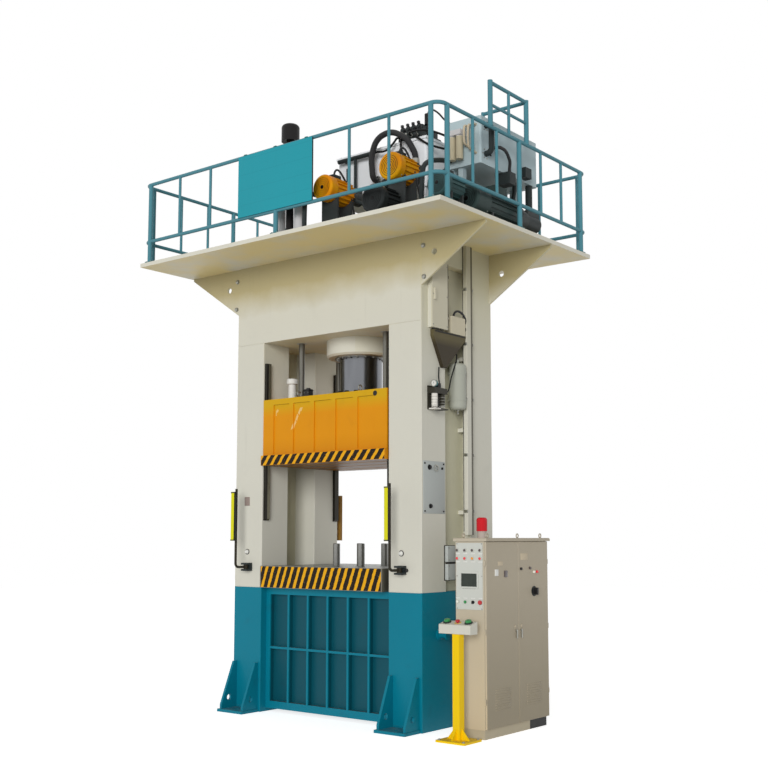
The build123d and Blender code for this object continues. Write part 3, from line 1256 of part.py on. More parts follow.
# Oil plant


def motor_body(x, z, y0, y1, radius):
    """A finned motor lying along Y, with a smooth cowl at its front end."""
    cowl = (y1 - y0) * 0.28
    ring = Circle(radius * 0.88) + PolarLocations(radius * 0.9, 18) * Rectangle(radius * 0.2, 7)
    plane = Plane(origin=(x, y1, z), x_dir=(1, 0, 0), z_dir=(0, -1, 0))
    body = extrude(plane * ring, y1 - y0 - cowl)
    front = Plane(origin=(x, y0 + cowl, z), x_dir=(1, 0, 0), z_dir=(0, -1, 0))
    cover = extrude(front * Circle(radius), cowl)
    return body + fillet(cover.edges().sort_by(Axis.Y)[0], radius * 0.18)


def motor_stand(x, z, y0, y1, radius):
    """A cradle of two plates and a foot plate under a motor."""
    half, plate = radius * 0.8, MOTOR_PLATE
    top = z - radius * 0.3
    outline = [(x - half, DECK_TOP), (x + half, DECK_TOP), (x + half, top), (x - half, top)]
    stand = block((x - half, x + half), (y0, y1), (DECK_TOP, DECK_TOP + plate))
    for y in (y0, y1 - plate):
        stand += front_profile(outline, (y, y + plate))
    return stand - bar((x, y0 - plate, z), (x, y1 + plate, z), radius + SEAT_GAP)


def pump_body(x, z, y0, y1, radius):
    """A pump on its bell housing, lying along Y behind its motor."""
    middle = y0 + (y1 - y0) * PUMP_BELL_SHARE
    bell = Pos(x, middle, z) * Rot(90, 0, 0) * Cone(radius * 0.62, radius * 0.9, middle - y0, align=LOW)
    body = bell + bar((x, middle, z), (x, y1, z), radius * 0.55)
    return body + block((x - radius * 0.4, x + radius * 0.4), (middle + 10, y1 - 5), (z, z + radius * PORT_SHARE))


def make_reservoir():
    """Oil reservoir on four legs, with a rimmed cover."""
    x, y = (RESERVOIR_LEFT, RESERVOIR_RIGHT), (RESERVOIR_FRONT, RESERVOIR_REAR)
    tank = block(x, y, (RESERVOIR_LOW, RESERVOIR_TOP - COVER_HEIGHT))
    tank = fillet(tank.edges().filter_by(Axis.Z), 30)
    rim = COVER_RIM
    tank += block((x[0] - rim, x[1] + rim), (y[0] - rim, y[1] + rim), (RESERVOIR_TOP - COVER_HEIGHT, RESERVOIR_TOP))
    for leg_x in (x[0] + LEG_INSET + LEG_WIDTH, x[1] - LEG_INSET):
        for leg_y in (y[0] + LEG_INSET, y[1] - LEG_INSET):
            tank += tank_leg(leg_x, leg_y, RESERVOIR_LOW)
    return tank


def tank_leg(x, y, top):
    """A square leg with its foot plate, from the deck up to a tank."""
    leg = Pos(x, y, (DECK_TOP + top) / 2) * Box(LEG_WIDTH, LEG_WIDTH, top - DECK_TOP)
    return leg + Pos(x, y, DECK_TOP + LEG_PLATE / 2) * Box(2 * LEG_WIDTH, 2 * LEG_WIDTH, LEG_PLATE)


def make_header_tank():
    """Header tank on four legs at the right of the deck."""
    tank = block((TANK_LEFT, TANK_RIGHT), (TANK_FRONT, TANK_REAR), (TANK_LOW, TANK_HIGH))
    tank = fillet(tank.edges().filter_by(Axis.Z), 25)
    inner = MAIN_MOTOR_X - MAIN_MOTOR_RADIUS - LEG_WIDTH - 15
    for leg_x in (TANK_LEFT + LEG_WIDTH / 2 + 10, inner):
        for leg_y in (TANK_FRONT + LEG_INSET, TANK_REAR - LEG_INSET):
            leg = Pos(leg_x, leg_y, (DECK_TOP + TANK_LOW) / 2)
            tank += leg * Box(LEG_WIDTH, LEG_WIDTH, TANK_LOW - DECK_TOP)
    return tank


def make_filters():
    """Breather stack with its cap, canister filters, the reservoir's vent and the tank's filter pair."""
    x, y, top = BREATHER_X, BREATHER_Y, DECK_TOP + BREATHER_TOP
    cap_low = top - BREATHER_CAP
    breather = disc(x, y, (DECK_TOP, cap_low), 42) + disc(x, y, (DECK_TOP, DECK_TOP + 18), 80)
    cap = disc(x, y, (cap_low, top), 98)
    solids = [breather + fillet(cap.edges().sort_by(Axis.Z)[-1], 40)]
    for can_x in (x - CANISTER_PITCH, x + CANISTER_PITCH):
        can = disc(can_x, y, (DECK_TOP, DECK_TOP + CANISTER_HEIGHT), CANISTER_RADIUS)
        solids.append(fillet(can.edges().sort_by(Axis.Z)[-1], 20))
    vent_x, vent_y = RESERVOIR_RIGHT - VENT_RADIUS - 2, RESERVOIR_FRONT + 90
    cap_low = RESERVOIR_TOP + VENT_STEM
    vent = disc(vent_x, vent_y, (RESERVOIR_TOP, cap_low), VENT_RADIUS / 2)
    solids.append(vent + disc(vent_x, vent_y, (cap_low, cap_low + VENT_CAP), VENT_RADIUS))
    head_z = TANK_HIGH - 190
    head = block((TANK_LEFT + 80, TANK_LEFT + 260), (TANK_FRONT - 110, TANK_FRONT), (head_z, head_z + 55))
    for filter_x in (TANK_LEFT + 125, TANK_LEFT + 215):
        head += disc(filter_x, TANK_FRONT - 62, (head_z - 250, head_z), 38)
    solids.append(head)
    return group(*solids)


def make_pump_motors():
    """The smaller pump motors."""
    return group(*[motor_body(x, DECK_TOP + up, y0, y1, r) for x, up, y0, y1, r in SMALL_MOTORS])


def make_pumps():
    """Pumps with their bell housings, and the cradles of the motors."""
    solids = []
    for x, up, y0, y1, r in SMALL_MOTORS:
        solids.append(motor_stand(x, DECK_TOP + up, y0 + (y1 - y0) * 0.32, y1 - MOTOR_PLATE, r))
    for x, up, y0, y1, r in SMALL_MOTORS[:2]:
        solids.append(pump_body(x, DECK_TOP + up, y1, RESERVOIR_FRONT, r))
    x, z, r = MAIN_MOTOR_X, MAIN_MOTOR_Z, MAIN_MOTOR_RADIUS
    solids.append(pump_body(x, z, MAIN_MOTOR_END, MAIN_MOTOR_REAR, r))
    solids.append(motor_stand(x, z, MAIN_MOTOR_END - MAIN_MOTOR_LENGTH * 0.65, MAIN_MOTOR_END - MOTOR_PLATE, r))
    return group(*solids)


def make_main_motor():
    """Main pump motor along the right edge of the deck, with its terminal box."""
    x, end, r = MAIN_MOTOR_X, MAIN_MOTOR_END, MAIN_MOTOR_RADIUS
    top, half = MAIN_MOTOR_Z + r * 0.8, MOTOR_BOX_WIDTH / 2
    box_end = end - MOTOR_BOX_IN
    motor = motor_body(x, MAIN_MOTOR_Z, MAIN_MOTOR_FRONT, end, r)
    return motor + block((x - half, x + half), (box_end - MOTOR_BOX_LENGTH, box_end), (top, top + MOTOR_BOX_HEIGHT))


def make_valve_manifold():
    """Valve manifold on the reservoir with its solenoid valves, and two valve blocks at the header tank."""
    x0, y0, top = MANIFOLD_LEFT, RESERVOIR_FRONT + MANIFOLD_INSET, RESERVOIR_TOP + MANIFOLD_HEIGHT
    y1 = y0 + MANIFOLD_DEPTH
    manifold = block((x0, x0 + VALVES * VALVE_PITCH), (y0, y1), (RESERVOIR_TOP, top))
    for n in range(VALVES):
        x = x0 + (n + 0.5) * VALVE_PITCH
        manifold += block((x - 24, x + 24), (y0 + 60, y1 - 60), (top, top + 70))
        manifold += bar((x, y0 + 10, top + 38), (x, y1 - 10, top + 38), 20)
    side = block((TANK_RIGHT, TANK_RIGHT + 80), (250, 370), (TANK_LOW + 20, TANK_LOW + 130))
    hung = block((TANK_RIGHT - 90, TANK_RIGHT + 80), HUNG_VALVE_Y, (TANK_LOW - 130, TANK_LOW))
    return group(manifold, side, hung)


def make_pipes():
    """Rigid oil pipes: cylinder neck, header pipe, tank bypass and the main pump's suction."""
    neck = disc(RESERVOIR_LEFT + 72, 0, (BARREL_TOP, RESERVOIR_LOW), 60)
    z, y, start = RESERVOIR_TOP - 65, HEADER_Y, RESERVOIR_LEFT + 65
    header = bar((start, y, z), (start + HEADER_LENGTH, y, z), HEADER_RADIUS)
    for share in (0.13, 0.8):
        x = start + HEADER_LENGTH * share
        header += bar((x, y, z), (x, RESERVOIR_FRONT, z), HEADER_RADIUS * 0.6)
    left_x, left_up, left_radius = SMALL_MOTORS[0][0], SMALL_MOTORS[0][1], SMALL_MOTORS[0][4]
    header += disc(left_x, y, (DECK_TOP + left_up + left_radius * PORT_SHARE, z), HEADER_RADIUS * 0.7)
    x, y, z = TANK_RIGHT, BYPASS_Y, TANK_HIGH - 90
    out, low = x + BYPASS_OUT, z - BYPASS_DROP
    route = [(x, y, z), (out, y, z), (out, y, low), (x, y, low)]
    bypass = pipe(FilletPolyline(*route, radius=BYPASS_BEND), BYPASS_RADIUS)
    suction_y = MAIN_MOTOR_END + (MAIN_MOTOR_REAR - MAIN_MOTOR_END) * 0.75
    suction = (MAIN_MOTOR_Z + MAIN_MOTOR_RADIUS * PORT_SHARE, TANK_LOW)
    return group(neck, header, bypass, disc(MAIN_MOTOR_X, suction_y, suction, SUCTION_RADIUS))


def hose(points, radius):
    """A hose through chosen points, each bend as wide as its two runs allow."""
    spots = [Vector(*point) for point in points]
    runs = [after - before for before, after in zip(spots, spots[1:])]
    bends = []
    for run, following in zip(runs, runs[1:]):
        half_turn = math.radians(run.get_angle(following)) / 2
        bends.append(BEND_SHARE * min(run.length, following.length) / math.tan(half_turn))
    print("hose bend radii", [round(bend) for bend in bends])
    return pipe(FilletPolyline(*points, radius=bends), radius)


def make_hoses():
    """Pressure hoses: the wide loop in front of the reservoir and one beside the header tank."""
    x, y = SMALL_MOTORS[1][0], RESERVOIR_FRONT - WIDE_HOSE_RADIUS - 6
    port = DECK_TOP + SMALL_MOTORS[1][1] + SMALL_MOTORS[1][4] * PORT_SHARE
    r = WIDE_HOSE_REACH
    wide = [
        (x - r, RESERVOIR_FRONT, port - 0.14 * r), (x - r, y - 0.18 * r, port - 0.14 * r),
        (x - 1.06 * r, y - 0.18 * r, port + 0.37 * r), (x - 0.91 * r, y - 0.18 * r, port + 0.74 * r),
        (x - 0.53 * r, y - 0.17 * r, port + 0.83 * r), (x - 0.16 * r, y - 0.09 * r, port + 0.62 * r),
        (x, y, port + 0.26 * r), (x, y, port),
    ]
    x, y, z, r = TANK_RIGHT, HUNG_VALVE_Y[0], TANK_LOW, SIDE_HOSE_REACH
    side = [
        (x, y - r, z + 1.025 * r), (x + 0.4 * r, y - r, z + 1.025 * r), (x + 0.475 * r, y - 0.45 * r, z + 0.95 * r),
        (x + 0.35 * r, y + 0.15 * r, z + 0.55 * r), (x + 0.2 * r, y + 0.3 * r, z + 0.225 * r),
        (x + 0.2 * r, y + 0.3 * r, z),
    ]
    return group(hose(wide, WIDE_HOSE_RADIUS), hose(side, SIDE_HOSE_RADIUS))


NODES = {
    "bed": make_bed, "feet": make_feet, "columns": make_columns, "side_panels": make_side_panels,
    "crown": make_crown, "tie_rods": make_tie_rods, "guide_rails": make_guide_rails, "deck": make_deck,
    "deck_brackets": make_deck_brackets, "railing": make_railing, "board": make_board,
    "bolster": make_bolster, "cushion_cylinder": make_cushion_cylinder, "cushion_plate": make_cushion_plate,
    "cushion_pins": make_cushion_pins, "main_cylinder": make_main_cylinder, "ram_gland": make_ram_gland,
    "return_cylinders": make_return_cylinders, "slide": make_slide, "slide_gibs": make_slide_gibs,
    "ram": make_ram, "return_rods": make_return_rods, "position_sensor": make_position_sensor,
    "curtain_clamps": make_curtain_clamps,
    "light_curtain_left": lambda: make_light_curtain(-1), "light_curtain_right": lambda: make_light_curtain(1),
    "rear_curtains": make_rear_curtains, "junction_box": make_junction_box,
    "junction_box_door": make_junction_box_door, "cable_bracket": make_cable_bracket,
    "terminal_housing": make_terminal_housing, "cable_duct": make_cable_duct,
    "air_receiver": make_air_receiver, "service_unit": make_service_unit, "regulator_knob": make_regulator_knob,
    "cabinet": make_cabinet, "cabinet_plinth": make_cabinet_plinth,
    "cabinet_door_front": lambda: make_cabinet_door(True), "cabinet_door_rear": lambda: make_cabinet_door(False),
    "isolator_switch": make_isolator_switch, "mounting_plate": make_mounting_plate,
    "operator_panel": make_operator_panel,
    "start_button": lambda: make_panel_button(1, START_RADIUS, START_HEIGHT, START_GAP),
    "mode_selector": make_mode_selector,
    "stop_button": lambda: make_panel_button(3, STOP_RADIUS, STOP_HEIGHT, STOP_GAP),
    "beacon": make_beacon, "stand_base": make_stand_base, "stand_box": make_stand_box,
    "palm_button_left": lambda: make_stand_button(-PALM_OFFSET, PALM_RADIUS, PALM_HEIGHT),
    "palm_button_right": lambda: make_stand_button(PALM_OFFSET, PALM_RADIUS, PALM_HEIGHT),
    "stand_stop": lambda: make_stand_button(0, STAND_STOP_RADIUS, STAND_STOP_HEIGHT),
    "reservoir": make_reservoir, "header_tank": make_header_tank, "filters": make_filters,
    "pump_motors": make_pump_motors, "pumps": make_pumps, "main_motor": make_main_motor,
    "valve_manifold": make_valve_manifold, "pipes": make_pipes, "hoses": make_hoses,
}

os.makedirs("parts", exist_ok=True)
for name, make in NODES.items():
    export_step(make(), f"parts/{name}.step")
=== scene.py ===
"""Looks of the hydraulic press: finishes, small fittings, studio and camera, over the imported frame."""
import math

import bmesh
import bpy
from mathutils import Matrix, Vector


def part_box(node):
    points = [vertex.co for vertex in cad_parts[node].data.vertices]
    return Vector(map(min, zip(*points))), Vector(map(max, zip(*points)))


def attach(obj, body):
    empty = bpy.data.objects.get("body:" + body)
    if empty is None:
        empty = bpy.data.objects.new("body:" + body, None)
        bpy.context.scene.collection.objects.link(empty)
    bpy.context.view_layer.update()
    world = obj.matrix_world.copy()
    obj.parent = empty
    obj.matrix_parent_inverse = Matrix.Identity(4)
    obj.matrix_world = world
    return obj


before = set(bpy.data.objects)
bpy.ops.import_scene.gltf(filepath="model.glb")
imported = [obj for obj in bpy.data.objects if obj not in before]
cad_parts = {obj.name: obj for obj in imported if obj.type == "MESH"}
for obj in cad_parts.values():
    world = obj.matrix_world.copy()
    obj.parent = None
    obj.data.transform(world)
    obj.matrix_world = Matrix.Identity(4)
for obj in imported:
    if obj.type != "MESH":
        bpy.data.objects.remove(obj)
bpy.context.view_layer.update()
X, Y, Z = Vector((1, 0, 0)), Vector((0, 1, 0)), Vector((0, 0, 1))
CORNERS = [(sx, sy) for sx in (-1, 1) for sy in (-1, 1)]
WHITE, BLACK = (1, 1, 1, 1), (0, 0, 0, 1)
ALONG_X, ALONG_Z = (0.03, 1, 1), (1, 1, 0.03)
LOW_GLOSS = 0.2
SLIDE_TOP = 3.5
DECK_TOP = 5.14
TANK_TOP = 6.115
GAUGE = Vector((1.412, -0.517, 3.52))

# Motors: middle in X and Z, front and rear in Y, radius
SMALL_MOTORS = [
    (0.505, 5.592, -1.25, -0.87, 0.138), (1.31, 5.69, -1.13, -0.8, 0.146),
    (1.25, 5.315, -1.33, -1.04, 0.15), (1.905, 5.395, -1.13, -0.8, 0.128),
]
MAIN_MOTOR = (1.955, 5.33, -0.7, 0.15, 0.155)


# Shader maths


def operator(operation):
    """A method that puts one maths node on a socket and another value."""
    return lambda self, other: self.maths(operation, self, other)


def reflected(operation):
    """The same with the other value first."""
    return lambda self, other: self.maths(operation, other, self)


class Shade:
    """One socket of a finish; arithmetic on it adds the maths nodes."""

    def __init__(self, nodes, socket):
        self.nodes = nodes
        self.socket = socket

    def maths(self, operation, *values, clamp=False):
        settings = {"operation": operation, "use_clamp": clamp}
        return self.nodes.add("Math", settings, dict(enumerate(values)))

    __add__, __radd__ = operator("ADD"), reflected("ADD")
    __sub__, __rsub__ = operator("SUBTRACT"), reflected("SUBTRACT")
    __mul__, __rmul__ = operator("MULTIPLY"), reflected("MULTIPLY")
    __truediv__, __rtruediv__ = operator("DIVIDE"), reflected("DIVIDE")
    __gt__, __lt__ = operator("GREATER_THAN"), operator("LESS_THAN")

    def __abs__(self):
        return self.maths("ABSOLUTE", self)

    def held(self):
        """The value held between 0 and 1."""
        return self.maths("ADD", self, 0.0, clamp=True)

    def part(self):
        """The fraction left after whole numbers are taken off."""
        return self.maths("FRACT", self)

    def between(self, low, high):
        """1 where the value lies between two limits."""
        return (self > low) * (self < high)

    def rising(self, start, slope):
        """0 up to a start, then rising by a slope to 1."""
        return ((self - start) * slope).held()

    def falling(self, start, slope):
        """0 down to a start, then rising by a slope to 1 below it."""
        return ((start - self) * slope).held()


class Nodes:
    """A tree of shader nodes, each made from a type, settings, and values or links of sockets.

    A colour of three numbers is one written as on screen.
    """

    def __init__(self, tree):
        self.tree = tree
        self.tree.nodes.clear()

    def add(self, kind, settings=None, sockets=None, output=0):
        node = self.tree.nodes.new("ShaderNode" + kind)
        for key, value in (settings or {}).items():
            setattr(node, key, value)
        for key, value in (sockets or {}).items():
            if isinstance(value, Shade):
                self.tree.links.new(value.socket, node.inputs[key])
            elif node.inputs[key].type == "RGBA" and len(value) == 3:
                node.inputs[key].default_value = linear(value)
            else:
                node.inputs[key].default_value = value
        return Shade(self, node.outputs[output])

    def seen(self):
        """1 for what the camera sees directly, in a reflection or through glass."""
        path = self.add("LightPath").socket.node.outputs
        kinds = ("Is Camera Ray", "Is Glossy Ray", "Is Transmission Ray")
        return sum(Shade(self, path[kind]) for kind in kinds).held()

    def end(self, shader, kind):
        output = self.tree.nodes.new("ShaderNodeOutput" + kind)
        self.tree.links.new(shader.socket, output.inputs["Surface"])


class Finish(Nodes):
    """A finish being mixed from object coordinates and the direction of the faces."""

    def __init__(self, name):
        self.material = bpy.data.materials.new(name)
        self.material.use_nodes = True
        super().__init__(self.material.node_tree)
        self.place = self.add("TexCoord", output="Object")
        self.x, self.y, self.z = self.split(self.place)
        self.nx, self.ny, self.nz = self.split(self.add("TexCoord", output="Normal"))

    def split(self, vector):
        node = self.add("SeparateXYZ", sockets={0: vector}).socket.node
        return [Shade(self, socket) for socket in node.outputs]

    def front(self):
        """1 on faces that look to the front."""
        return self.ny < -0.5

    def right(self):
        """1 on faces that look to the right."""
        return self.nx > 0.5

    def upward(self):
        """1 on faces that look up, where dust settles."""
        return (self.nz * 3 - 2).held()

    def noise(self, size, detail=2.0, stretch=(1, 1, 1)):
        """Soft random patches of one size in metres, from 0 to 1, drawn out where the stretch is below 1."""
        place = self.add("Mapping", sockets={"Vector": self.place, "Scale": stretch})
        return self.add("TexNoise", sockets={"Vector": place, "Scale": 1 / size, "Detail": detail})

    def specks(self, size):
        """Distance to the nearest of scattered points of one spacing in metres."""
        return self.add("TexVoronoi", sockets={"Vector": self.place, "Scale": 1 / size})

    def mix(self, share, first, second):
        return self.add("Mix", {"data_type": "RGBA"}, {0: share, 6: first, 7: second}, 2)

    def bump(self, height, depth):
        return self.add("Bump", sockets={"Height": height, "Distance": depth, "Strength": 1.0})

    def done(self, base, rough, metal=0.0, **more):
        sockets = {"Base Color": base, "Roughness": rough, "Metallic": metal}
        sockets.update({key.replace("_", " "): value for key, value in more.items()})
        self.end(self.add("BsdfPrincipled", sockets=sockets), "Material")
        return self.material


def linear(tone):
    """A colour written as on screen, 0 to 255, made linear."""
    def share(value):
        value /= 255
        return value / 12.92 if value <= 0.04045 else ((value + 0.055) / 1.055) ** 2.4
    return [share(value) for value in tone] + [1.0]


def scaled(tone, factor, lift=0.0):
    """A colour written as on screen, made linear and then lighter or darker."""
    return [min(1.0, value * factor + lift) for value in linear(tone)[:3]] + [1.0]


DUST = (170, 163, 142)
OIL = (38, 34, 28)
# Painted light: the warm yellow of light bounced up from the floor, for faces that look down
PAINTED_BOUNCE_YELLOW = (236, 216, 150)
STRIPE_BLACK = (22, 14, 8)


# Finishes


def paint(name, tone, vary=0.06, rough=0.42, dust=0.3, runs=0.12, oil=0.1, under=0.0, pattern=None):
    """Sprayed paint: uneven tone, orange peel, dust on top faces, dirt run down and oily patches; with under,
    a painted warm bounce light on faces that look down.
    """
    f = Finish(name)
    broad, patches, peel = f.noise(0.8, 3), f.noise(0.09, 5), f.noise(0.0045)
    base = f.mix(broad, scaled(tone, 1 - vary), scaled(tone, 1 + vary))
    if pattern:
        base = pattern(f, base)
    drips = f.noise(0.07, 4, (1, 1, 0.08)).rising(0.64, 5) * broad.rising(0.4, 3)
    base = f.mix(drips * (1 - abs(f.nz)) * runs, base, OIL)
    # Painted light: faces that look down turn a blotchy yellow, standing for warm bounce from the floor
    if under:
        blotches = (f.noise(0.45, 4) * 3 - 0.8).held()
        base = f.mix(((0 - f.nz) * 2 - 1).held() * blotches * under, base, PAINTED_BOUNCE_YELLOW)
    settled = f.upward() * patches.rising(0.25, 1.6)
    base = f.mix(settled * dust, base, DUST)
    smears = f.noise(0.22, 6).rising(0.6, 4)
    base = f.mix(smears * oil, base, OIL)
    shine = rough - 0.06 + patches * 0.12 + settled * 0.3 - smears * 0.08
    relief = peel * 0.35 + patches * 0.25
    return f.done(base, shine, Normal=f.bump(relief, 0.0008), Specular_IOR_Level=LOW_GLOSS)


def striped_front(f, base, bright, front, low, high, edge, pitch, lean):
    """Warning stripes on one front face, worn in places; the lean is their run for each unit of height."""
    face = f.front() * (f.y < front) * f.z.between(low, high) * (abs(f.x) < edge)
    worn = (f.noise(0.018, 4) > 0.69) * 0.7
    run = f.x - f.z * lean + (f.noise(0.05) - 0.5) * 0.02
    band = f.mix((run / pitch).part() > 0.4, bright, STRIPE_BLACK)
    return f.mix(face * (1 - worn), base, band)


def cream_pattern(f, base):
    """Warmer towards the deck, with painted shade on the right faces there; on the front faces just under the
    deck, a mottled khaki painted shadow of the deck.
    """
    warm = f.z.rising(3.6, 0.9) * 0.5
    # Painted shade: faces that look right turn khaki towards the deck
    base = f.mix(warm * f.right(), base, (196, 190, 150))
    base = f.mix(warm * 0.25, base, (205, 200, 172))
    # Painted shadow of the deck: mottled khaki on the front faces just under it
    deck_shadow = ((f.z - 4.5) * 3.2 + (f.noise(0.3, 4) - 0.5) * 0.7).held() * f.front()
    return f.mix(deck_shadow * 0.9, base, (180, 167, 122))


def teal_pattern(f, base):
    """Painted shade: the recessed panels between the pillars are a darker teal; the ribs' outer edges keep
    the bright one.
    """
    # Painted shade of the recess between the pillars
    inside = (abs(f.x) < 0.915) * (f.z > 0.03) * (abs(f.y) < 0.545)
    return f.mix(inside * 0.8, base, (10, 62, 72))


def slide_pattern(f, base):
    """A brighter band along the top, pale diagonal streaks, painted shade on the faces that look down, and
    the warning stripes on the flange.
    """
    top = f.z.rising(3.3, 8) * (abs(f.ny) > 0.5)
    base = f.mix(top * 0.7, base, (206, 172, 26))
    base = f.mix(f.z.falling(3.05, 5) * 0.3, base, (178, 108, 6))
    # Pale diagonal streaks across the front, left of the middle
    rubbed = f.x - f.z * 0.55 + 2.37 + (f.noise(0.1) - 0.5) * 0.05
    streaks = abs((rubbed / 0.36).part() - 0.5) < 0.045
    pale_streaks = streaks * f.front() * f.z.between(3.14, 3.38) * f.x.between(-0.72, -0.2)
    base = f.mix(pale_streaks * (f.noise(0.03, 3) > 0.46) * 0.6, base, (242, 214, 150))
    # Painted shade: faces that look down turn dark brown
    base = f.mix((f.nz < -0.5) * 0.75, base, (70, 52, 24))
    return striped_front(
        f, base, (236, 170, 24), front=-0.68, low=2.752, high=2.862, edge=0.9, pitch=0.113, lean=0.75,
    )


def board_pattern(f, base):
    """Board paint that is a little darker where the wet edges met."""
    laps = abs((f.z / 0.17).part() - 0.5) < 0.02
    return f.mix(laps * 0.12, base, (24, 96, 110))


def machined(name, tone, rough, stretch, size=0.0064, pattern=None, oil=0.2):
    """Bare steel with fine tool marks drawn out along one axis and thin oil."""
    f = Finish(name)
    marks, patches = f.noise(size, 4, stretch), f.noise(0.15, 5)
    base = f.mix(patches, scaled(tone, 0.86), tone)
    if pattern:
        base = pattern(f, base)
    stains = f.noise(0.06, 6).rising(0.57, 5)
    base = f.mix(stains * oil, base, (60, 50, 38))
    shine = rough - 0.08 + marks * 0.12 + patches * 0.1
    return f.done(base, shine, 0.85, Normal=f.bump(marks, 0.00025))


def bolster_steel():
    """Planed steel plate, darkened at its sides; warning stripes cover its painted front face."""
    f = Finish("bolster_planed_steel")
    marks, patches = f.noise(0.006, 4, ALONG_X), f.noise(0.15, 5)
    base = f.mix(patches, (120, 122, 118), (150, 152, 146))
    base = f.mix((abs(f.nz) < 0.5) * 0.35, base, (112, 96, 66))
    base = striped_front(
        f, base, (236, 172, 24), front=-0.70, low=1.385, high=1.615, edge=0.868, pitch=0.0975, lean=0.36,
    )
    painted = f.front()
    shine = 0.26 + marks * 0.1 + patches * 0.1 + painted * 0.16
    metal = 0.8 - painted * 0.8
    return f.done(base, shine, metal, Normal=f.bump(marks + patches, 0.0003), Specular_IOR_Level=LOW_GLOSS)


def chromed():
    """Hard chrome on the ram and rods, with faint rings from grinding."""
    f = Finish("ground_hard_chrome")
    rings = f.noise(0.002, 3, (0.05, 0.05, 1))
    film = f.noise(0.12, 4, (1, 1, 0.25))
    base = f.mix(film, (102, 104, 108), (142, 144, 148))
    return f.done(base, 0.16 + rings * 0.06 + film * 0.06, 1.0, Normal=f.bump(rings, 0.00005))


def cast(name, tone, metal, rough):
    """Sand-cast surface: pitted, with oil in the hollows."""
    f = Finish(name)
    grain, lumps = f.noise(0.006, 5), f.noise(0.05, 4)
    base = f.mix(lumps, tone, scaled(tone, 1.35))
    base = f.mix(grain.falling(0.48, 6) * 0.5, base, OIL)
    base = f.mix(f.upward() * lumps * 0.3, base, DUST)
    return f.done(base, rough - 0.1 + grain * 0.2, metal, Normal=f.bump(grain + lumps * 0.5, 0.0012))


def bronze():
    """Gib bronze, wiped with oil and scored along the stroke."""
    f = Finish("oiled_gib_bronze")
    scores, patches = f.noise(0.005, 4, (1, 1, 0.02)), f.noise(0.07, 4)
    base = f.mix(patches, (150, 104, 48), (196, 148, 76))
    return f.done(base, 0.24 + scores * 0.16, 0.95, Normal=f.bump(scores, 0.0003))


def moulded(name, tone, rough, clear=0.0):
    """Moulded plastic with a fine spark-eroded grain and rubbed spots."""
    f = Finish(name)
    texture, rubbed = f.noise(0.0016, 2), f.noise(0.03, 4)
    base = f.mix(rubbed.rising(0.5, 3) * 0.35, tone, scaled(tone, 1.4, 0.01))
    base = f.mix(f.upward() * rubbed * 0.22, base, DUST)
    return f.done(base, rough - 0.05 + rubbed * 0.12, Normal=f.bump(texture, 0.0002), Coat_Weight=clear)


def rubber(name, tone):
    """Hose cover or boot with a wrapped-cloth texture."""
    f = Finish(name)
    cloth = f.noise(0.0016, 2) + f.specks(0.004) * 0.6
    patches = f.noise(0.06, 4)
    base = f.mix(patches, tone, scaled(tone, 1.8, 0.004))
    top = (f.nz * 2 - 1).held() * patches
    base = f.mix(top * 0.35, base, DUST)
    return f.done(base, 0.55 + patches * 0.15, Normal=f.bump(cloth, 0.0006))


def glowing(name, tone, strength):
    """A lamp lens with moulded prisms, lit a little from inside."""
    f = Finish(name)
    prisms = f.specks(0.006)
    base = f.mix(prisms * 0.5, tone, scaled(tone, 1.5, 0.02))
    light = {"Emission_Color": base, "Emission_Strength": strength}
    return f.done(base, 0.16, Normal=f.bump(prisms, 0.0006), Coat_Weight=0.6, **light)


def beacon_pattern(f, base):
    """The beacon's foot is pale, its lens is red."""
    return f.mix(f.z < 2.0, base, (188, 176, 166))


def curtain_pattern(f, base):
    """The housing's front face is bright; its edges, the rod and the eye are dark."""
    rim = abs(abs(f.x) - 1.11) > 0.023
    rod = (f.y > -0.8845) * (f.y < 0)
    dark = (rim + rod + (f.z < 1.899)).held()
    return f.mix(dark, base, (44, 40, 30))


def plinth_pattern(f, base):
    """Cabinet colour in front, black where the rear of the base frame shows."""
    return f.mix(f.y > 0.25, base, (38, 38, 38))


def cabinet_pattern(f, base):
    """Front faces turn yellower towards the floor; the faces that look right carry painted shade, darker
    still towards the floor.
    """
    low = f.z.falling(1.5, 0.8)
    base = f.mix(low * 0.3 * f.front(), base, (226, 204, 160))
    # Painted shade on the faces that look right, deepening towards the floor
    return f.mix((low * 0.5 + 0.25) * f.right(), base, (140, 130, 108))


def box_door_pattern(f, base):
    """The rear edge of the box's door, by its hinges, is dark: a painted shadow of the gap behind the box."""
    # Painted shadow along the door's rear edge
    return f.mix(f.right() * (f.y > -0.264) * 0.85, base, (58, 50, 36))


def duct_pattern(f, base):
    """Khaki towards the deck as painted shade, and dark along the rear edge of the right face as a painted
    shadow of the gap behind it.
    """
    # Painted shade: khaki towards the deck
    base = f.mix(f.z.rising(3.6, 0.9) * 0.6, base, (166, 158, 124))
    # Painted shadow along the rear edge of the right face
    return f.mix(f.right() * (f.y > 0.178) * 0.85, base, (58, 52, 38))


def rail_pattern(f, base):
    """Rails in front keep their grease on the outer edge alone."""
    clean = (f.y < 0) * (f.y > -0.602)
    return f.mix(clean * 0.8, base, (128, 124, 104))


def filter_pattern(f, base):
    """The breather and the vent are black, the canisters and the tank's filters stay pale."""
    breather = (abs(f.x + 0.005) < 0.079) * (f.y < -1.09)
    cap = (f.z > 6.2) * (f.y < -1.09)
    vent = (f.z > 6.12) * (f.y > -0.7)
    slits = f.y.between(-0.64, -0.5) * f.z.between(5.8, 6.05)
    base = f.mix(slits, base, (196, 186, 158))
    return f.mix((breather + cap + vent).held(), base, (30, 28, 28))


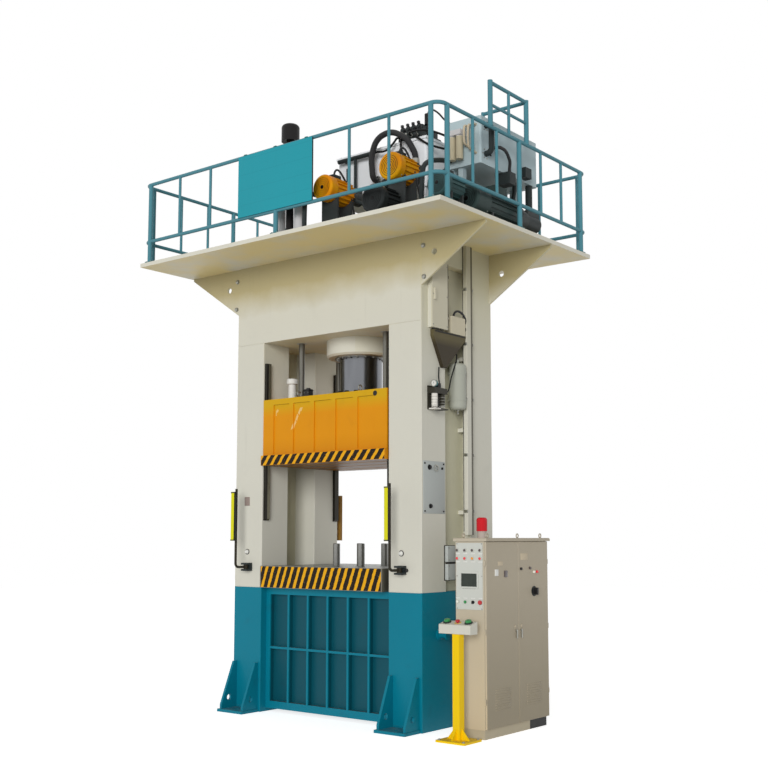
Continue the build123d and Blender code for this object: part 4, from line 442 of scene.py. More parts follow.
def motor_pattern(f, base):
    """The two upper motors are golden with an orange bloom, the lower one black, the last grey-green."""
    warm = f.noise(0.25, 2).rising(0.35, 3)
    base = f.mix(warm * 0.6, base, (226, 116, 12))
    base = f.mix(f.x.between(1.0, 1.5) * (f.z < 5.475), base, (34, 38, 38))
    return f.mix(f.x > 1.7, base, (62, 92, 92))


def unit_pattern(f, base):
    """Black bracket and body, one white bowl, blue-green gauge case."""
    outer = f.x > 1.372
    base = f.mix((f.z < 3.415) * (f.y < -0.46) * outer, base, (226, 222, 214))
    return f.mix((f.z > 3.478) * outer, base, (70, 120, 124))


def bracket_pattern(f, base):
    """The cable bracket turns black-brown below its middle: painted shade under the box it carries."""
    # Painted shade on the lower part of the bracket
    return f.mix(f.z.falling(4.02, 12) * 0.8, base, (46, 38, 30))


def tread_pattern(f, base):
    """Raised tread bars worn bright on the deck's top."""
    bars = abs(((f.x + f.y) / 0.06).part() - 0.5) + abs(((f.x - f.y) / 0.06).part() - 0.5)
    top = (f.nz > 0.5) * (bars < 0.3)
    return f.mix(top * 0.4, base, (160, 156, 140))


def screen_glass():
    """Dark screen: a faint cell grid under smooth glass."""
    f = Finish("dark_screen_glass")
    cells = ((f.x / 0.0022).part() < 0.12) + ((f.z / 0.0022).part() < 0.12)
    dust = f.noise(0.04, 4)
    base = f.mix(cells.held() * 0.4, (50, 56, 52), (36, 42, 40))
    base = f.mix(dust * 0.25, base, (96, 102, 90))
    return f.done(base, 0.4 + dust * 0.1, Specular_IOR_Level=LOW_GLOSS)


CREAM = (214, 212, 199)

# One finish for each slot of the frame
FINISHES = {
    "cream_paint": paint("cream_enamel", CREAM, 0.035, runs=0.1, oil=0.05, under=0.55, pattern=cream_pattern),
    "teal_paint": paint("teal_enamel", (6, 122, 144), 0.1, pattern=teal_pattern, oil=0.22, dust=0.4),
    "rail_paint": paint("rail_blue_green_enamel", (80, 136, 148), 0.12),
    "orange_paint": paint("slide_orange_enamel", (222, 146, 16), 0.1, pattern=slide_pattern, oil=0.12),
    "yellow_paint": paint("signal_yellow_enamel", (246, 206, 12), oil=0.05),
    "grey_paint": paint("light_grey_enamel", (196, 198, 192), 0.05),
    "dark_paint": paint("black_grey_enamel", (44, 50, 50), 0.15, rough=0.45),
    "steel": machined("oiled_machined_steel", (150, 150, 146), 0.34, ALONG_X),
    "polished_steel": chromed(),
    "cast_iron": cast("painted_casting", (54, 58, 58), metal=0.25, rough=0.6),
    "bronze": bronze(),
    "black_plastic": moulded("black_thermoset", (26, 26, 27), 0.42),
    "green_plastic": moulded("green_button_plastic", (20, 132, 62), 0.3, clear=0.4),
    "red_plastic": moulded("red_button_plastic", (186, 22, 30), 0.3, clear=0.4),
    "hose_rubber": rubber("black_hose_cover", (24, 24, 25)),
}

# Nodes with a paint or a finish of their own
OWN_PAINT = {
    "beacon": dict(tone=(206, 30, 40), rough=0.25, oil=0.0, dust=0.1, pattern=beacon_pattern),
    "cabinet": dict(tone=(194, 184, 164), vary=0.04, oil=0.03, pattern=cabinet_pattern),
    "cabinet_plinth": dict(tone=(186, 176, 152), pattern=plinth_pattern),
    "cable_duct": dict(tone=CREAM, vary=0.04, oil=0.03, pattern=duct_pattern),
    "deck": dict(tone=(222, 219, 204), vary=0.04, under=0.85, oil=0.06, pattern=tread_pattern),
    # The side panels are a khakier cream than the frame, partly as painted shade of the pocket they line
    "side_panels": dict(tone=(206, 203, 178), vary=0.05, under=0.4),
    "junction_box_door": dict(tone=(204, 199, 178), vary=0.04, pattern=box_door_pattern),
    "terminal_housing": dict(tone=(204, 196, 172)),
    "air_receiver": dict(tone=(172, 174, 162), oil=0.04),
    "rear_curtains": dict(tone=(150, 112, 50), vary=0.1),
    "board": dict(tone=(38, 154, 168), vary=0.05, rough=0.4, oil=0.03, pattern=board_pattern),
    # The bracket's dark brown tone is partly painted shade, as it sits in shadow under the box
    "cable_bracket": dict(tone=(94, 86, 60), vary=0.2, rough=0.5, pattern=bracket_pattern),
    "light_curtain_left": dict(tone=(222, 218, 30), vary=0.08, pattern=curtain_pattern),
    "pump_motors": dict(tone=(226, 164, 10), vary=0.14, oil=0.12, pattern=motor_pattern),
    "main_motor": dict(tone=(50, 64, 62), vary=0.15, rough=0.45, oil=0.2),
    "header_tank": dict(tone=(186, 204, 208), oil=0.08),
    "reservoir": dict(tone=(246, 248, 250), vary=0.03, dust=0.1, oil=0.03),
    "operator_panel": dict(tone=(206, 208, 200), vary=0.03, rough=0.34, oil=0.02),
    "filters": dict(tone=(206, 204, 204), pattern=filter_pattern),
    "service_unit": dict(tone=(52, 50, 42), vary=0.1, pattern=unit_pattern),
    "mounting_plate": dict(tone=(150, 152, 148), vary=0.12, oil=0.02),
}
OWN = {node: paint(f"{node}_enamel", **look) for node, look in OWN_PAINT.items()}
OWN["bolster"] = bolster_steel()
OWN["return_rods"] = machined("ground_return_rod_steel", (124, 122, 114), 0.28, ALONG_Z)
OWN["ram_gland"] = machined("turned_gland_steel", (160, 158, 150), 0.28, ALONG_Z)
OWN["guide_rails"] = machined("oiled_rail_steel", (52, 50, 44), 0.36, ALONG_Z, pattern=rail_pattern, oil=0.4)
OWN["light_curtain_right"] = OWN["light_curtain_left"]
OWN["cabinet_door_front"] = OWN["cabinet_door_rear"] = OWN["cabinet"]

# Finishes of the small fittings, each with the slot that it fills
EXTRA = {
    "screen": ("black_plastic", screen_glass()),
    "lamp_red": ("red_plastic", glowing("red_lamp_lens", (196, 26, 34), 0.25)),
    "lamp_amber": ("yellow_paint", glowing("amber_lamp_lens", (206, 132, 26), 0.15)),
    "lamp_white": ("grey_paint", glowing("white_lamp_lens", (214, 212, 200), 0.12)),
    "lamp_off": ("black_plastic", moulded("unlit_lamp_lens", (74, 62, 62), 0.22, clear=0.6)),
    "zinc": ("steel", machined("zinc_plated_steel", (172, 172, 164), 0.34, ALONG_Z, 0.004)),
    "black_steel": ("steel", machined("black_oxide_steel", (40, 40, 40), 0.42, ALONG_Z, 0.004)),
    "dial": ("grey_paint", moulded("white_dial_card", (226, 226, 220), 0.3, clear=0.5)),
    "gasket": ("hose_rubber", rubber("grey_black_gasket", (36, 34, 32))),
    "shadow_gap": ("dark_paint", cast("dark_gap_paint", (32, 30, 26), metal=0.0, rough=0.75)),
    "pale_plate": ("cream_paint", paint("bare_plate_enamel", (204, 190, 164), 0.04, oil=0.0, dust=0.1)),
    "brown_plate": ("cream_paint", paint("brown_plate_enamel", (150, 134, 126), 0.04, oil=0.0, dust=0.1)),
    "grey_plate": ("grey_paint", paint("bare_grey_plate_enamel", (180, 185, 182), 0.04, oil=0.03)),
    "cabinet": ("cream_paint", OWN["cabinet"]),
    "flange_teal": ("teal_paint", paint("rail_flange_teal_enamel", (52, 110, 112), 0.14, oil=0.15)),
}
EXTRA.update({slot: (slot, material) for slot, material in FINISHES.items()})


def dress_nodes():
    """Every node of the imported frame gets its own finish, or the one of its slot."""
    for name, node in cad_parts.items():
        for slot in node.material_slots:
            slot.material = OWN.get(name) or FINISHES[slot.material.name.split(".")[0]]


dress_nodes()


# Small fittings


def turned(axis, at=(0, 0, 0)):
    """Transform that lays a piece made upright along an axis, at a place."""
    return Matrix.Translation(at) @ Vector(axis).to_track_quat("Z", "Y").to_matrix().to_4x4()


def add_block(mesh, low, high, edge=0.0):
    """A block between two corners with rounded edges."""
    low, high = Vector(low), Vector(high)
    made = bmesh.ops.create_cube(mesh, size=1.0)["verts"]
    bmesh.ops.scale(mesh, verts=made, vec=high - low)
    bmesh.ops.translate(mesh, verts=made, vec=(low + high) / 2)
    if edge:
        edges = list({link for vert in made for link in vert.link_edges})
        bmesh.ops.bevel(mesh, geom=edges, offset=edge, affect="EDGES", segments=2, profile=0.5, material=-1)


def linked(start):
    """Every point joined to the starting ones."""
    seen, front = set(start), list(start)
    while front:
        vert = front.pop()
        for edge in vert.link_edges:
            other = edge.other_vert(vert)
            if other not in seen:
                seen.add(other)
                front.append(other)
    return list(seen)


def add_turning(mesh, profile, place, steps=24):
    """A turned part from its profile, pairs of radius and height, spun about the place's own Z."""
    points = [mesh.verts.new((radius, 0, height)) for radius, height in profile]
    lines = [mesh.edges.new(pair) for pair in zip(points, points[1:])]
    spun = bmesh.ops.spin(
        mesh, geom=points + lines, cent=(0, 0, 0), axis=Z, dvec=(0, 0, 0), angle=math.tau, steps=steps,
        use_merge=True, use_duplicate=False,
    )
    found = set(points) | {item for item in spun["geom_last"] if isinstance(item, bmesh.types.BMVert)}
    grown = linked(found)
    bmesh.ops.remove_doubles(mesh, verts=grown, dist=1e-6)
    grown = linked([vert for vert in grown if vert.is_valid])
    bmesh.ops.transform(mesh, matrix=place, verts=grown)


def solid(*outline, top=None):
    """Profile of a solid turning: its outline from the foot up, closed to the axis at both ends."""
    return [(0, 0), *outline, (0, outline[-1][1] if top is None else top)]


def ring(inner, outer, low, high):
    """Profile of a flat ring between two radii and two heights."""
    return [(inner, low), (outer, low), (outer, high), (inner, high), (inner, low)]


def round_ring(radius, bar):
    """Profile of a ring of round bar."""
    angles = [n * math.tau / 8 for n in range(9)]
    return [(radius + bar * math.cos(angle), bar * math.sin(angle)) for angle in angles]


def add_drum(mesh, sides, radii, start, high):
    """A drum with its foot and top radius, from a height on; returns its points."""
    made = bmesh.ops.create_cone(
        mesh, cap_ends=True, segments=sides, radius1=radii[0], radius2=radii[1], depth=high,
    )["verts"]
    bmesh.ops.translate(mesh, verts=made, vec=(0, 0, start + high / 2))
    return made


def add_bolt(mesh, at, axis, size):
    """A hex bolt head on a washer, as wide across its corners as twice the size."""
    washer_high = size * 0.16
    washer = add_drum(mesh, 16, (size * 1.25, size * 1.2), 0, washer_high)
    head = add_drum(mesh, 6, (size, size), washer_high, size * 0.65)
    top = [face for face in {f for v in head for f in v.link_faces} if face.normal.z > 0.9]
    bmesh.ops.inset_individual(mesh, faces=top, thickness=size * 0.12, depth=size * 0.08)
    bmesh.ops.transform(mesh, matrix=turned(axis, at), verts=linked(washer) + linked(head))


def add_ring_of_bolts(mesh, centre, radius, count, size, axis=Z, start=0.0):
    place = turned(axis, centre)
    for n in range(count):
        angle = start + math.tau * n / count
        add_bolt(mesh, place @ Vector((radius * math.cos(angle), radius * math.sin(angle), 0)), axis, size)


def add_tube(mesh, points, radius):
    """A bent tube along a smooth line through its corner points."""
    line = bpy.data.curves.new("tube_line", "CURVE")
    line.dimensions = "3D"
    line.bevel_depth = radius
    line.bevel_resolution = 3
    line.use_fill_caps = True
    spline = line.splines.new("NURBS")
    spline.points.add(len(points) - 1)
    for spot, point in zip(spline.points, points):
        spot.co = (*point, 1)
    spline.order_u = 3
    spline.use_endpoint_u = True
    spline.resolution_u = 6
    holder = bpy.data.objects.new("tube_line", line)
    bpy.context.scene.collection.objects.link(holder)
    tube = bpy.data.meshes.new_from_object(holder.evaluated_get(bpy.context.evaluated_depsgraph_get()))
    mesh.from_mesh(tube)
    bpy.data.objects.remove(holder)
    bpy.data.curves.remove(line)
    bpy.data.meshes.remove(tube)


def finish_piece(mesh, name, finish, body="frame"):
    """The piece's mesh becomes an object that rides on a body in one finish."""
    slot, material = EXTRA[finish]
    bmesh.ops.recalc_face_normals(mesh, faces=mesh.faces)
    data = bpy.data.meshes.new(name)
    mesh.to_mesh(data)
    mesh.free()
    data.materials.append(material)
    data.shade_smooth()
    data.set_sharp_from_angle(angle=math.radians(40))
    piece = bpy.data.objects.new(name, data)
    bpy.context.scene.collection.objects.link(piece)
    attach(piece, body)


def piece_of(parts, add, name, finish, body="frame"):
    """A piece whose parts are added one by one by the same helper, from what each part needs."""
    mesh = bmesh.new()
    for part in parts:
        add(mesh, *part)
    finish_piece(mesh, name, finish, body)


def disc_piece(name, finish, at, axis, profile, steps=32, body="frame"):
    piece_of([(profile, turned(axis, at), steps)], add_turning, name, finish, body)


def tubes(name, finish, radius, *routes, body="frame"):
    piece_of([(route, radius) for route in routes], add_tube, name, finish, body)


def blocks(name, finish, edge, *boxes, body="frame"):
    """Blocks, each with its two corners."""
    piece_of([(*box, edge) for box in boxes], add_block, name, finish, body)


def bolts(name, finish, *places, body="frame"):
    """Loose bolts, each with its place, axis and size."""
    piece_of(places, add_bolt, name, finish, body)


def bolt_rings(name, finish, *rings, body="frame"):
    """Rings of bolts, each with its centre, radius, count, size, axis and starting angle."""
    piece_of(rings, add_ring_of_bolts, name, finish, body)


# Fittings of the frame, the slide and the cylinders


def make_press_bolts():
    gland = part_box("ram_gland")[0].z
    bolt_rings("ram_flange_bolts", "black_steel", ((0, 0, 3.555), 0.287, 16, 0.026, Z, 0.1), body="slide")
    bolt_rings("gland_bolts", "zinc", ((0, 0, gland), 0.273, 18, 0.012, -Z))
    bolt_rings(
        "cylinder_head_bolts", "black_steel", ((0, 0, 5.56), 0.3, 12, 0.026, Z, math.radians(15)),
        *[((sx * 0.625, sy * 0.327, 5.46), 0.044, 6, 0.008) for sx, sy in CORNERS],
    )
    rows = [(1.385, 4.62), (1.375, 4.95)]
    places = [((sx * x, sy * 0.644, z), sy * Y, 0.022) for x, z in rows for sx, sy in CORNERS]
    bolts("bracket_bolts", "zinc", *places)
    bolts("bolster_rear_bolts", "black_steel", *[((x, 0.71, 1.42), Y, 0.017) for x in (-0.84, 0.84)])


def make_slide_fittings():
    """Pale guide post, one lifting hole, grease lines and eye bolts of the slide."""
    foot = [(0.075, 0), (0.075, 0.018), (0.046, 0.022)]
    post = solid(*foot, (0.042, 0.2), (0.062, 0.21), (0.064, 0.262), (0.05, 0.272))
    disc_piece("slide_guide_post", "dial", (-0.765, -0.34, SLIDE_TOP), Z, post, body="slide")
    hole = [(0, 0.001), (0.018, 0.001), (0.02, 0.003), (0.026, 0.003), (0.028, 0.0), (0, 0)]
    disc_piece("slide_lifting_hole", "shadow_gap", (0.745, -0.66, 3.455), -Y, hole, body="slide")
    lines, eyes = [], bmesh.new()
    for sx, sy in CORNERS:
        y = sy * 0.42
        lines.append([
            (sx * 0.868, y, 3.502), (sx * 0.868, y, 3.53), (sx * 0.8, y, 3.534),
            (sx * 0.5, sy * 0.46, 3.512), (sx * 0.4, sy * 0.4, 3.512),
        ])
        eye = (sx * 0.45, sy * 0.55)
        add_turning(eyes, round_ring(0.03, 0.008), turned(X, (*eye, 3.546)), 20)
        collar = solid((0.022, 0), (0.022, 0.01), (0.012, 0.016))
        add_turning(eyes, collar, turned(Z, (*eye, SLIDE_TOP)), 16)
    tubes("slide_grease_lines", "zinc", 0.006, *lines, body="slide")
    finish_piece(eyes, "slide_eye_bolts", "zinc", "slide")


def make_column_fittings():
    """Caps, plates and boxes on the outside of the uprights."""
    cap = solid((0.025, 0), (0.025, 0.01), (0.02, 0.016), (0.016, 0.028), (0.01, 0.034), top=0.036)
    rim = solid((0.031, 0), (0.031, 0.006), (0.026, 0.008))
    for side, x in (("left", -1.146), ("right", 1.091)):
        disc_piece(f"column_cap_{side}", "dial", (x, -0.65, 1.775), -Y, cap)
        disc_piece(f"column_cap_rim_{side}", "gasket", (x, -0.65, 1.775), -Y, rim)
    blocks("column_bare_plate", "brown_plate", 0.004, ((-1.2, -0.654, 2.3), (-1.12, -0.649, 2.4)))
    plate = 1.354
    blocks("side_bare_plate", "grey_plate", 0.002, ((1.349, -0.625, 2.18), (plate, -0.25, 2.72)))
    marks = [(-0.522, 2.655, 0.022), (-0.505, 2.257, 0.02), (-0.3, 2.65, 0.012)]
    marks += [(y, z, 0.008) for y in (-0.6, -0.275) for z in (2.205, 2.695)]
    bolts("side_plate_screws", "black_steel", *[((plate, y, z), X, size) for y, z, size in marks])
    disc_piece("side_plate_ring", "zinc", (1.362, -0.41, 2.65), X, round_ring(0.03, 0.006))
    boxes = [((1.349, -0.26, z), (1.395, -0.085, z + 0.165)) for z in (1.5, 1.685)]
    blocks("outlet_box", "grey_plate", 0.006, *boxes)
    blocks(
        "outlet_box_edges", "shadow_gap", 0.001,
        ((1.349, -0.266, 1.494), (1.358, -0.079, 1.5)), ((1.349, -0.266, 1.85), (1.358, -0.079, 1.856)),
        ((1.349, -0.266, 1.494), (1.358, -0.26, 1.856)), ((1.36, -0.255, 1.666), (1.393, -0.09, 1.684)),
    )
    spots = [(y, z) for y in (-0.24, -0.105) for z in (1.52, 1.645, 1.705, 1.83)]
    bolts("outlet_box_screws", "zinc", *[((1.395, y, z), X, 0.006) for y, z in spots])


def make_side_lines():
    """Stiff conduits, thin pipes and the duct's seams and clips on the right side."""
    tubes(
        "terminal_conduit", "hose_rubber", 0.012,
        [(1.37, -0.1, 4.28), (1.37, -0.1, 4.33), (1.385, -0.02, 4.36), (1.385, 0.09, 4.31),
         (1.385, 0.125, 4.2), (1.38, 0.09, 4.15), (1.37, 0.07, 4.13)],
    )
    tubes(
        "air_lines", "black_steel", 0.007,
        [(1.37, -0.37, 3.71), (1.362, -0.37, 3.6), (1.38, -0.38, 3.56), (1.395, -0.4, 3.5)],
        [(1.35, -0.02, 3.83), (1.35, -0.02, 3.92), (1.365, -0.1, 3.95), (1.372, -0.2, 3.97)],
        [(1.42, -0.33, 3.44), (1.42, -0.27, 3.44), (1.4, -0.2, 3.6), (1.385, -0.1, 3.76),
         (1.35, -0.02, 3.83)],
    )
    drain = solid((0.018, 0), (0.018, 0.012), (0.008, 0.014), (0.008, 0.03), (0.012, 0.034), (0.012, 0.046))
    disc_piece("receiver_drain", "zinc", (1.346, 0, 3.292), -Z, drain)
    seams = [((1.3495, y, 2.0), (1.3535, y + 0.006, 5.09)) for y in (0.094, 0.214)]
    blocks("duct_seams", "shadow_gap", 0.0, *seams)
    spots = [(y, z) for z in (2.2, 2.8, 3.4, 4.0, 4.6) for y in (0.09, 0.212)]
    blocks("duct_clips", "zinc", 0.002, *[((1.349, y, z), (1.404, y + 0.012, z + 0.03)) for y, z in spots])
    bolts("box_glands", "black_plastic", *[((1.372, y, 4.111), -Z, 0.016) for y in (-0.47, -0.4, -0.33)])
    screws = [((1.4103, y, z), X, 0.006) for y in (-0.52, -0.275) for z in (4.14, 4.46, 4.78)]
    bolts("box_door_screws", "zinc", *screws, body="box_door")
    blocks("cable_bracket_lip", "shadow_gap", 0.001, ((1.395, -0.47, 4.07), (1.398, 0.07, 4.088)))


def make_service_unit_fittings():
    """Gauge face with its ticks and needle, and the wire guards of the bowls."""
    disc_piece("gauge_rim", "zinc", GAUGE, -Y, ring(0.031, 0.036, 0, 0.005))
    disc_piece("gauge_dial", "dial", GAUGE, -Y, solid((0.032, 0), (0.032, 0.002)))
    mesh = bmesh.new()
    half_tick = Vector((0.001, 0.0004, 0.001))
    for n in range(11):
        angle = math.radians(-225 + 27 * n)
        spot = GAUGE + Vector((0.026 * math.cos(angle), -0.0025, -0.026 * math.sin(angle)))
        add_block(mesh, spot - half_tick, spot + half_tick)
    add_block(mesh, GAUGE + Vector((-0.001, -0.0035, 0)), GAUGE + Vector((0.001, -0.0025, 0.021)))
    hub = solid((0.004, 0), (0.003, 0.003))
    add_turning(mesh, hub, turned(-Y, GAUGE + Vector((0, -0.002, 0))), 12)
    finish_piece(mesh, "gauge_needle_and_ticks", "black_steel")
    wire = ring(0.0325, 0.0345, -0.002, 0.002)
    for side, y in (("front", -0.506), ("rear", -0.374)):
        guard = [(wire, turned(Z, (1.412, y, z))) for z in (3.29, 3.32, 3.35, 3.38)]
        piece_of(guard, add_turning, f"bowl_guard_{side}", "zinc")


# Fittings of the cabinet, the panel and the stand


def make_panel_fittings():
    """Screen, lamp lenses, bare label strips and key marks of the operator panel."""
    blocks("panel_screen", "screen", 0.001, ((1.7955, -0.5945, 1.4585), (1.9805, -0.5895, 1.5855)))
    columns = [1.752 + 0.0897 * n for n in range(4)]
    lens = solid((0.0135, 0), (0.0135, 0.004), (0.011, 0.009), (0.006, 0.0115), top=0.012)
    kinds = {1.812: ["lamp_off"] * 4, 1.732: ["lamp_red", "lamp_red", "lamp_amber", "lamp_red"]}
    for z, finishes in kinds.items():
        for n, finish in enumerate(finishes):
            disc_piece(f"panel_lamp_{round(z * 1000)}_{n}", finish, (columns[n], -0.604, z), -Y, lens, 20)
    disc_piece("panel_lamp_power", "lamp_white", (columns[0], -0.604, 1.308), -Y, lens, 20)
    strips = [
        ((x - 0.024, -0.5915, z - 0.004), (x + 0.024, -0.5895, z + 0.004))
        for x in columns for z in (1.779, 1.699, 1.345)
    ]
    blocks("panel_bare_strips", "dial", 0.0005, *strips)
    starts = [1.806 + n * 0.0235 for n in range(7)]
    keys = [((x, -0.5925, 1.437), (x + 0.017, -0.5895, 1.447)) for x in starts]
    blocks("panel_screen_keys", "lamp_off", 0.001, *keys)
    corners = [((x, -0.59, z), -Y, 0.005) for x in (1.742, 2.034) for z in (1.245, 1.56, 1.874)]
    bolts("panel_screws", "zinc", *corners)
    blocks("panel_latch", "pale_plate", 0.003, ((1.822, -0.5855, 0.2), (1.85, -0.5815, 0.245)))


def make_door_fittings():
    """Louvres, bare plates, meters, lamps and swing handles of the cabinet's doors."""
    for side, sign, y0, y1 in (("front", -1, -0.43, -0.15), ("rear", 1, 0.15, 0.43)):
        body = f"door_{side}"
        starts = [0.26 + n * 0.024 for n in range(9)]
        slats = [((2.079, y0, z), (2.0835, y1, z + 0.01)) for z in starts]
        blocks(f"door_louvres_{side}", "cabinet", 0.002, *slats, body=body)
        y = sign * 0.045
        hub = ((2.079, y - 0.012, 1.0), (2.096, y + 0.012, 1.02))
        lever = ((2.088, y - 0.009, 0.93), (2.098, y + 0.009, 1.02))
        blocks(f"door_handle_{side}", "zinc", 0.004, hub, lever, body=body)
    for name, finish, edge, y, z, out, wide, high in (
        ("meter_cases", "dial", 0.003, -0.43, 1.56, 0.009, 0.06, 0.065),
        ("meter_dark", "lamp_off", 0.003, -0.262, 1.545, 0.009, 0.057, 0.065),
        ("front_bare_plate", "pale_plate", 0.001, -0.37, 1.66, 0.0025, 0.09, 0.04),
        ("rear_bare_plate", "pale_plate", 0.001, 0.05, 1.71, 0.0025, 0.14, 0.065),
    ):
        body = "door_rear" if y > 0 else "door_front"
        blocks(name, finish, edge, ((2.079, y, z), (2.079 + out, y + wide, z + high)), body=body)
    lens = solid((0.014, 0), (0.014, 0.012), (0.011, 0.018), top=0.02)
    for name, finish, y, z in (
        ("door_lamp_red", "lamp_red", 0.36, 1.585), ("door_lamp_white", "lamp_white", 0.3, 1.585),
        ("door_lamp_dark", "lamp_off", 0.221, 1.625), ("door_switch_small", "black_plastic", 0.05, 1.621),
    ):
        disc_piece(name, finish, (2.08, y, z), X, lens, 20, "door_rear")
    collar = [(0.041, 0), (0.052, 0), (0.052, 0.004), (0.041, 0.006), (0.041, 0)]
    disc_piece("isolator_collar", "dark_paint", (2.08, 0.304, 1.388), X, collar, body="door_rear")


def make_stand_fittings():
    """Shrouds round the palm buttons, plate round the stop button, corner screws and base bolts."""
    fall, deep = 0.032, 0.12
    slope = Vector((0, -fall, deep)).normalized()
    middle = Vector((1.89, -0.79, 1.119))
    shroud = [(0.034, 0), (0.04, 0), (0.04, 0.012), (0.037, 0.014), (0.034, 0.012), (0.034, 0)]
    for side, x in (("left", -0.125), ("right", 0.125)):
        disc_piece(f"palm_shroud_{side}", "dark_paint", middle + Vector((x, 0, 0)), slope, shroud)
    disc_piece("stand_stop_plate", "yellow_paint", middle, slope, ring(0.024, 0.034, 0, 0.0015))
    spots = [Vector((x, y, y * fall / deep)) for x in (-0.172, 0.172) for y in (-0.045, 0.045)]
    bolts("stand_box_screws", "zinc", *[(middle + spot, slope, 0.005) for spot in spots])
    feet = [((middle.x + sx * 0.14, middle.y + sy * 0.12, 0.02), Z, 0.013) for sx, sy in CORNERS]
    bolts("stand_base_bolts", "zinc", *feet)


# Fittings of the oil plant


def make_motor_fittings():
    """Fan grilles and cowl screws of all motors, terminal boxes of the small ones."""
    grille, screws, boxes = bmesh.new(), bmesh.new(), bmesh.new()
    for x, z, y0, y1, radius in (*SMALL_MOTORS, MAIN_MOTOR):
        long = y1 - y0
        place = turned(-Y, (x, y0 + 0.001, z))
        for share in (0.28, 0.42, 0.56, 0.7):
            inner = radius * share
            add_turning(grille, ring(inner, inner + 0.004, 0, 0.004), place, 32)
        hub = solid((radius * 0.16, 0), (radius * 0.16, 0.005), (radius * 0.1, 0.008))
        add_turning(grille, hub, place)
        cowl = (x, y0 + long * 0.28 - 0.02, z)
        add_ring_of_bolts(screws, cowl, radius * 0.97, 4, 0.008, -Y, math.pi / 4)
        if (x, z) != MAIN_MOTOR[:2]:
            top = z + radius * 0.82
            middle = y1 - long * 0.5
            add_block(boxes, (x - 0.05, middle - 0.06, top), (x + 0.05, middle + 0.06, top + 0.055), 0.008)
    finish_piece(grille, "motor_fan_grilles", "black_steel")
    finish_piece(screws, "motor_cowl_screws", "zinc")
    finish_piece(boxes, "motor_terminal_boxes", "dark_paint")


def make_tank_fittings():
    """Cover bolts, level gauges, manhole, filler cap, drain and elbows of both tanks."""
    cover = [(0.25 + n * 0.14, y) for n in range(9) for y in (-0.645, 0.615)]
    cover += [(x, -0.56 + n * 0.18) for n in range(7) for x in (0.2, 1.42)]
    bolts("reservoir_cover_bolts", "zinc", *[((x, y, TANK_TOP), Z, 0.009) for x, y in cover])
    bolt_rings("manhole_bolts", "zinc", ((0.62, 0.1, 6.133), 0.19, 12, 0.011))
    lid = solid((0.22, 0), (0.22, 0.012), (0.212, 0.018))
    disc_piece("manhole_cover", "grey_plate", (0.62, 0.1, TANK_TOP), Z, lid, 48)
    filler = solid(
        (0.06, 0), (0.06, 0.02), (0.035, 0.022), (0.035, 0.09), (0.05, 0.095), (0.05, 0.14), (0.04, 0.15),
    )
    disc_piece("filler_cap", "black_plastic", (0.32, 0.42, TANK_TOP), Z, filler)
    gauge = [((0.33, -0.661, 5.68), (0.375, -0.649, 5.98))]
    gauge += [((0.335, -0.668, z), (0.37, -0.66, z + 0.03)) for z in (5.69, 5.94)]
    blocks("reservoir_level_gauge", "black_steel", 0.003, *gauge)
    blocks("header_level_gauge", "black_steel", 0.003, ((1.99, -0.33, 5.86), (2.004, -0.3, 6.15)))
    drain = solid((0.03, 0), (0.03, 0.03), (0.02, 0.034), (0.02, 0.06), (0.026, 0.064), (0.026, 0.08))
    disc_piece("reservoir_drain", "zinc", (0.8, 0.2, 5.582), -Z, drain)
    wall, bend, out, high = -0.485, -0.54, -0.565, 6.16
    elbows = []
    for x, low in ((1.84, 5.95), (1.89, 5.9), (1.94, 5.86)):
        course = [(wall, high), (bend, high), (out, 6.13), (out, low + 0.04), (bend, low), (wall, low)]
        elbows.append([(x, y, z) for y, z in course])
    tubes("header_elbows", "pale_plate", 0.013, *elbows)
    bolt_rings("header_flange_bolts", "zinc", *[((1.995, -0.4, z), 0.05, 6, 0.007, X) for z in (6.16, 5.86)])


def make_valve_fittings():
    """Solenoid coils, plugs, rear valve stack and hose ferrules."""
    coils, plugs = bmesh.new(), bmesh.new()
    for n in range(4):
        x = 1.03 + (n + 0.5) * 0.072
        for y in (-0.6, -0.475):
            add_block(coils, (x - 0.022, y, 6.235), (x + 0.022, y + 0.035, 6.292), 0.004)
        add_block(coils, (x - 0.014, -0.612, 6.292), (x + 0.014, -0.585, 6.32), 0.003)
        plug = solid((0.017, 0), (0.017, 0.012), (0.012, 0.018))
        add_turning(plugs, plug, turned(-Y, (x, -0.62, 6.165)), 16)
        add_turning(plugs, solid((0.012, 0), (0.012, 0.012), top=0.014), turned(-Y, (x, -0.62, 6.2)), 6)
    finish_piece(coils, "solenoid_coils", "black_plastic")
    finish_piece(plugs, "manifold_plugs", "zinc")
    blocks(
        "rear_valve_stack", "dark_paint", 0.006,
        ((1.05, -0.36, TANK_TOP), (1.29, -0.2, 6.22)), ((1.08, -0.34, 6.22), (1.26, -0.22, 6.3)),
    )
    spots = [(x, y) for x in (1.1, 1.24) for y in (-0.32, -0.24)]
    bolts("valve_stack_bolts", "zinc", *[((x, y, 6.3), Z, 0.008) for x, y in spots])
    ferrule = [(0.033, 0), (0.04, 0.002), (0.04, 0.05), (0.036, 0.056), (0.033, 0.056), (0.033, 0)]
    port = 5.69 + 0.146 * 0.9
    disc_piece("wide_hose_ferrule_low", "zinc", (1.31, -0.688, port), Z, ferrule)
    disc_piece("wide_hose_ferrule_high", "zinc", (0.81, -0.65, port - 0.07), -Y, ferrule)


